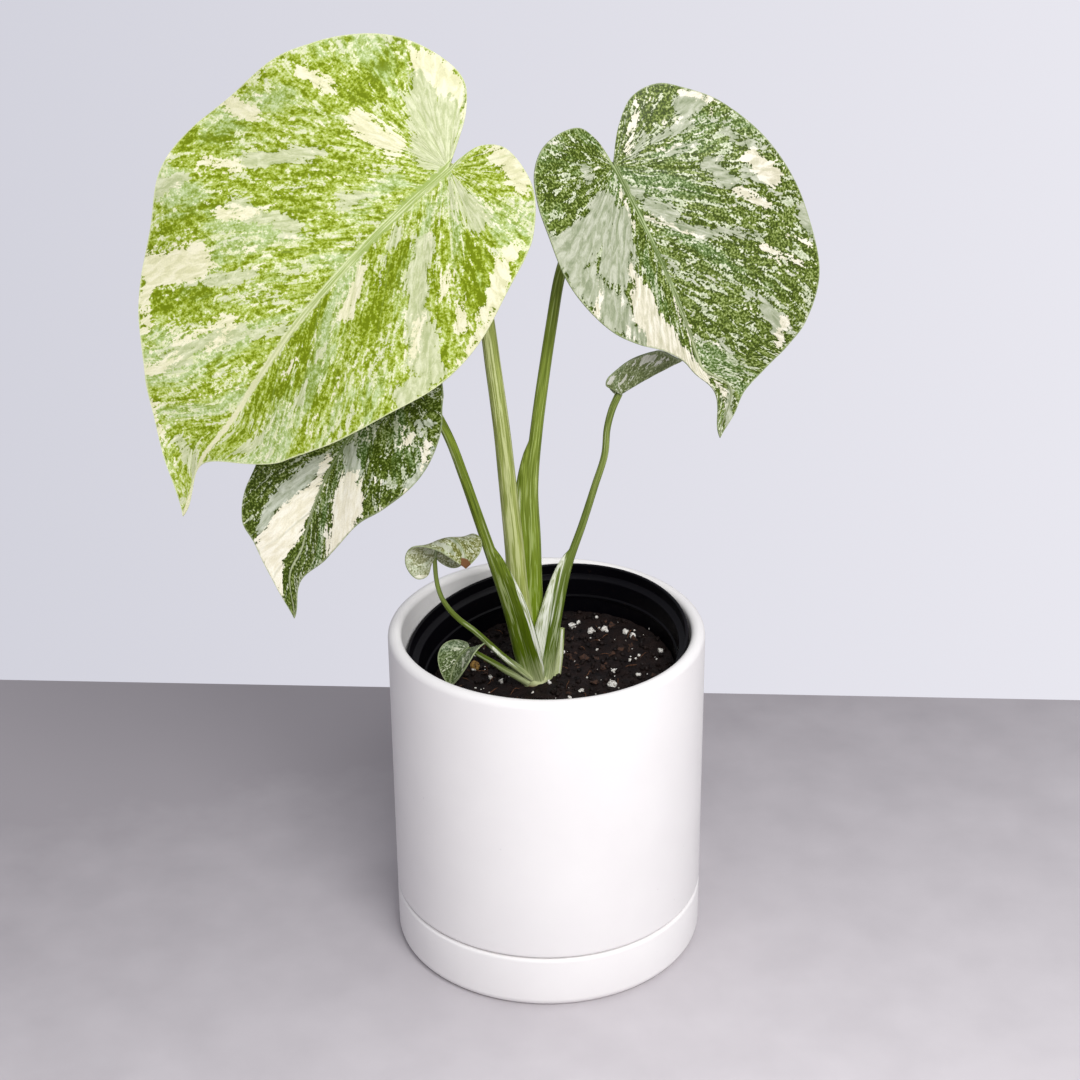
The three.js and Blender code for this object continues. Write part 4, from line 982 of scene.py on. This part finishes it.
# Leaf 4's top is also whitened a little (0.2), as painted light inside its fold.
for leaf_name, leaf, look, above, below in (("leaf_4", leaf_4, fold_lifted_look, 0.2, 0.1),
                                            ("leaf_5", leaf_5, frosted_look, 0.0, 0.4),
                                            ("leaf_6", leaf_6, grey_green_look, 0.0, 0.5)):
    make_blade(leaf_name, leaf, marbled_leaf(f"young_marbled_{leaf_name}", leaf, look, above),
               marbled_leaf(f"young_underside_{leaf_name}", leaf, look, below), 64, 24)


# Studio
# A pale tabletop painted lighter towards the front and right, a pale surround painted darker to the left,
# and two soft lights. The camera stands where the photographer's did, looking down on the plant from the
# front.
def plain_table():
    """Matt light grey laminate with a barely visible mottle, and painted light that makes it lighter
    towards the front and the right, darker towards the back and the left.
    """
    top, shader = fresh_material("pale_laminate")
    place = node(top, "TexCoord", {}).outputs["Object"]
    mottle = node(top, "TexNoise", {"Vector": place, "Scale": per_mm(30), "Detail": 5.0})
    # Painted light: the top is made lighter towards the front and the right and darker towards the back and
    # the left, added to the mottle.
    forward = node(top, "VectorMath", {0: place, 1: (0.35, -1, 0)}, operation="DOT_PRODUCT")
    painted_light_falloff = node(top, "MapRange", {"Value": forward, "From Min": -0.22, "From Max": 0.25, "To Min": -0.35})
    mottle_and_painted_light = node(top, "Math", {0: mottle, 1: 0.4, 2: painted_light_falloff}, operation="MULTIPLY_ADD")
    tone = node(top, "Mix", {factor: mottle_and_painted_light, under: tint("#9f9a9e"), over: tint("#d3ced1")},
                data_type="RGBA")
    feed(top, shader, {"Base Color": tone, "Roughness": 0.7})
    return top


half_table, back_edge, askew = 1.5, 0.1987, math.radians(-3.24)
table = bmesh.new()
bmesh.ops.create_grid(table, x_segments=1, y_segments=1, size=half_table)
bmesh.ops.translate(table, vec=(0, back_edge - half_table, 0), verts=table.verts[:])
bmesh.ops.rotate(table, cent=(0, back_edge, 0), matrix=Matrix.Rotation(askew, 3, "Z"), verts=table.verts[:])
table_mesh = bpy.data.meshes.new("table_top")
table.to_mesh(table_mesh)
table.free()
table_mesh.materials.append(plain_table())
table_top = bpy.data.objects.new("table_top", table_mesh)
bpy.context.scene.collection.objects.link(table_top)

surround = bpy.data.worlds.new("pale_surround")
surround.use_nodes = True
# Painted shade: the surround is darker and bluer to the left and lighter to the right across the backdrop,
# and so also lights the plant more from the right.
outlook = node(surround, "TexCoord", {}).outputs["Generated"]
sideways = node(surround, "SeparateXYZ", {"Vector": outlook}).outputs["X"]
painted_light_to_right = node(surround, "MapRange", {"Value": sideways, "From Min": -0.25, "From Max": 0.25})
seen = node(surround, "LightPath", {}).outputs["Is Camera Ray"]
feed(surround, surround.node_tree.nodes["Background"], {
    "Color": node(surround, "Mix", {factor: painted_light_to_right, under: tint("#d2d2dc"), over: tint("#e9e8f0")},
                  data_type="RGBA"),
    "Strength": node(surround, "MapRange", {"Value": seen, "To Min": 0.55})})
bpy.context.scene.world = surround
bpy.context.scene.view_settings.view_transform = "Standard"

for lamp_name, place, size, power in (("key_softbox", (0.38, -1.08, 1.15), 0.8, 20.0),
                                      ("top_softbox", (0.1, 0.1, 1.6), 1.0, 3.0)):
    lamp = bpy.data.lights.new(lamp_name, "AREA")
    lamp.size = size
    lamp.energy = power
    holder = bpy.data.objects.new(lamp_name, lamp)
    holder.location = place
    holder.rotation_euler = (Vector((0, 0, 0.2)) - Vector(place)).to_track_quat("-Z", "Y").to_euler()
    bpy.context.scene.collection.objects.link(holder)

sensor_width, focal_pixels, photo_pixels = 36, 2230, 1080
camera_data = bpy.data.cameras.new("photo_camera")
camera_data.sensor_width = sensor_width
camera_data.lens = sensor_width * focal_pixels / photo_pixels
camera_data.clip_start = 0.05
camera = bpy.data.objects.new("photo_camera", camera_data)
bpy.context.scene.collection.objects.link(camera)
look_down, roll = math.radians(25.8), math.radians(-0.524)
aim, distance = Vector((-2.3, 0, 182.4)), 896.8
stance = Matrix.Rotation(math.pi / 2 - look_down, 4, "X") @ Matrix.Rotation(roll, 4, "Z")
back = stance.to_3x3().col[2]
stance.translation = (aim + back * distance) * MM
camera.matrix_world = stance
bpy.context.scene.camera = camera
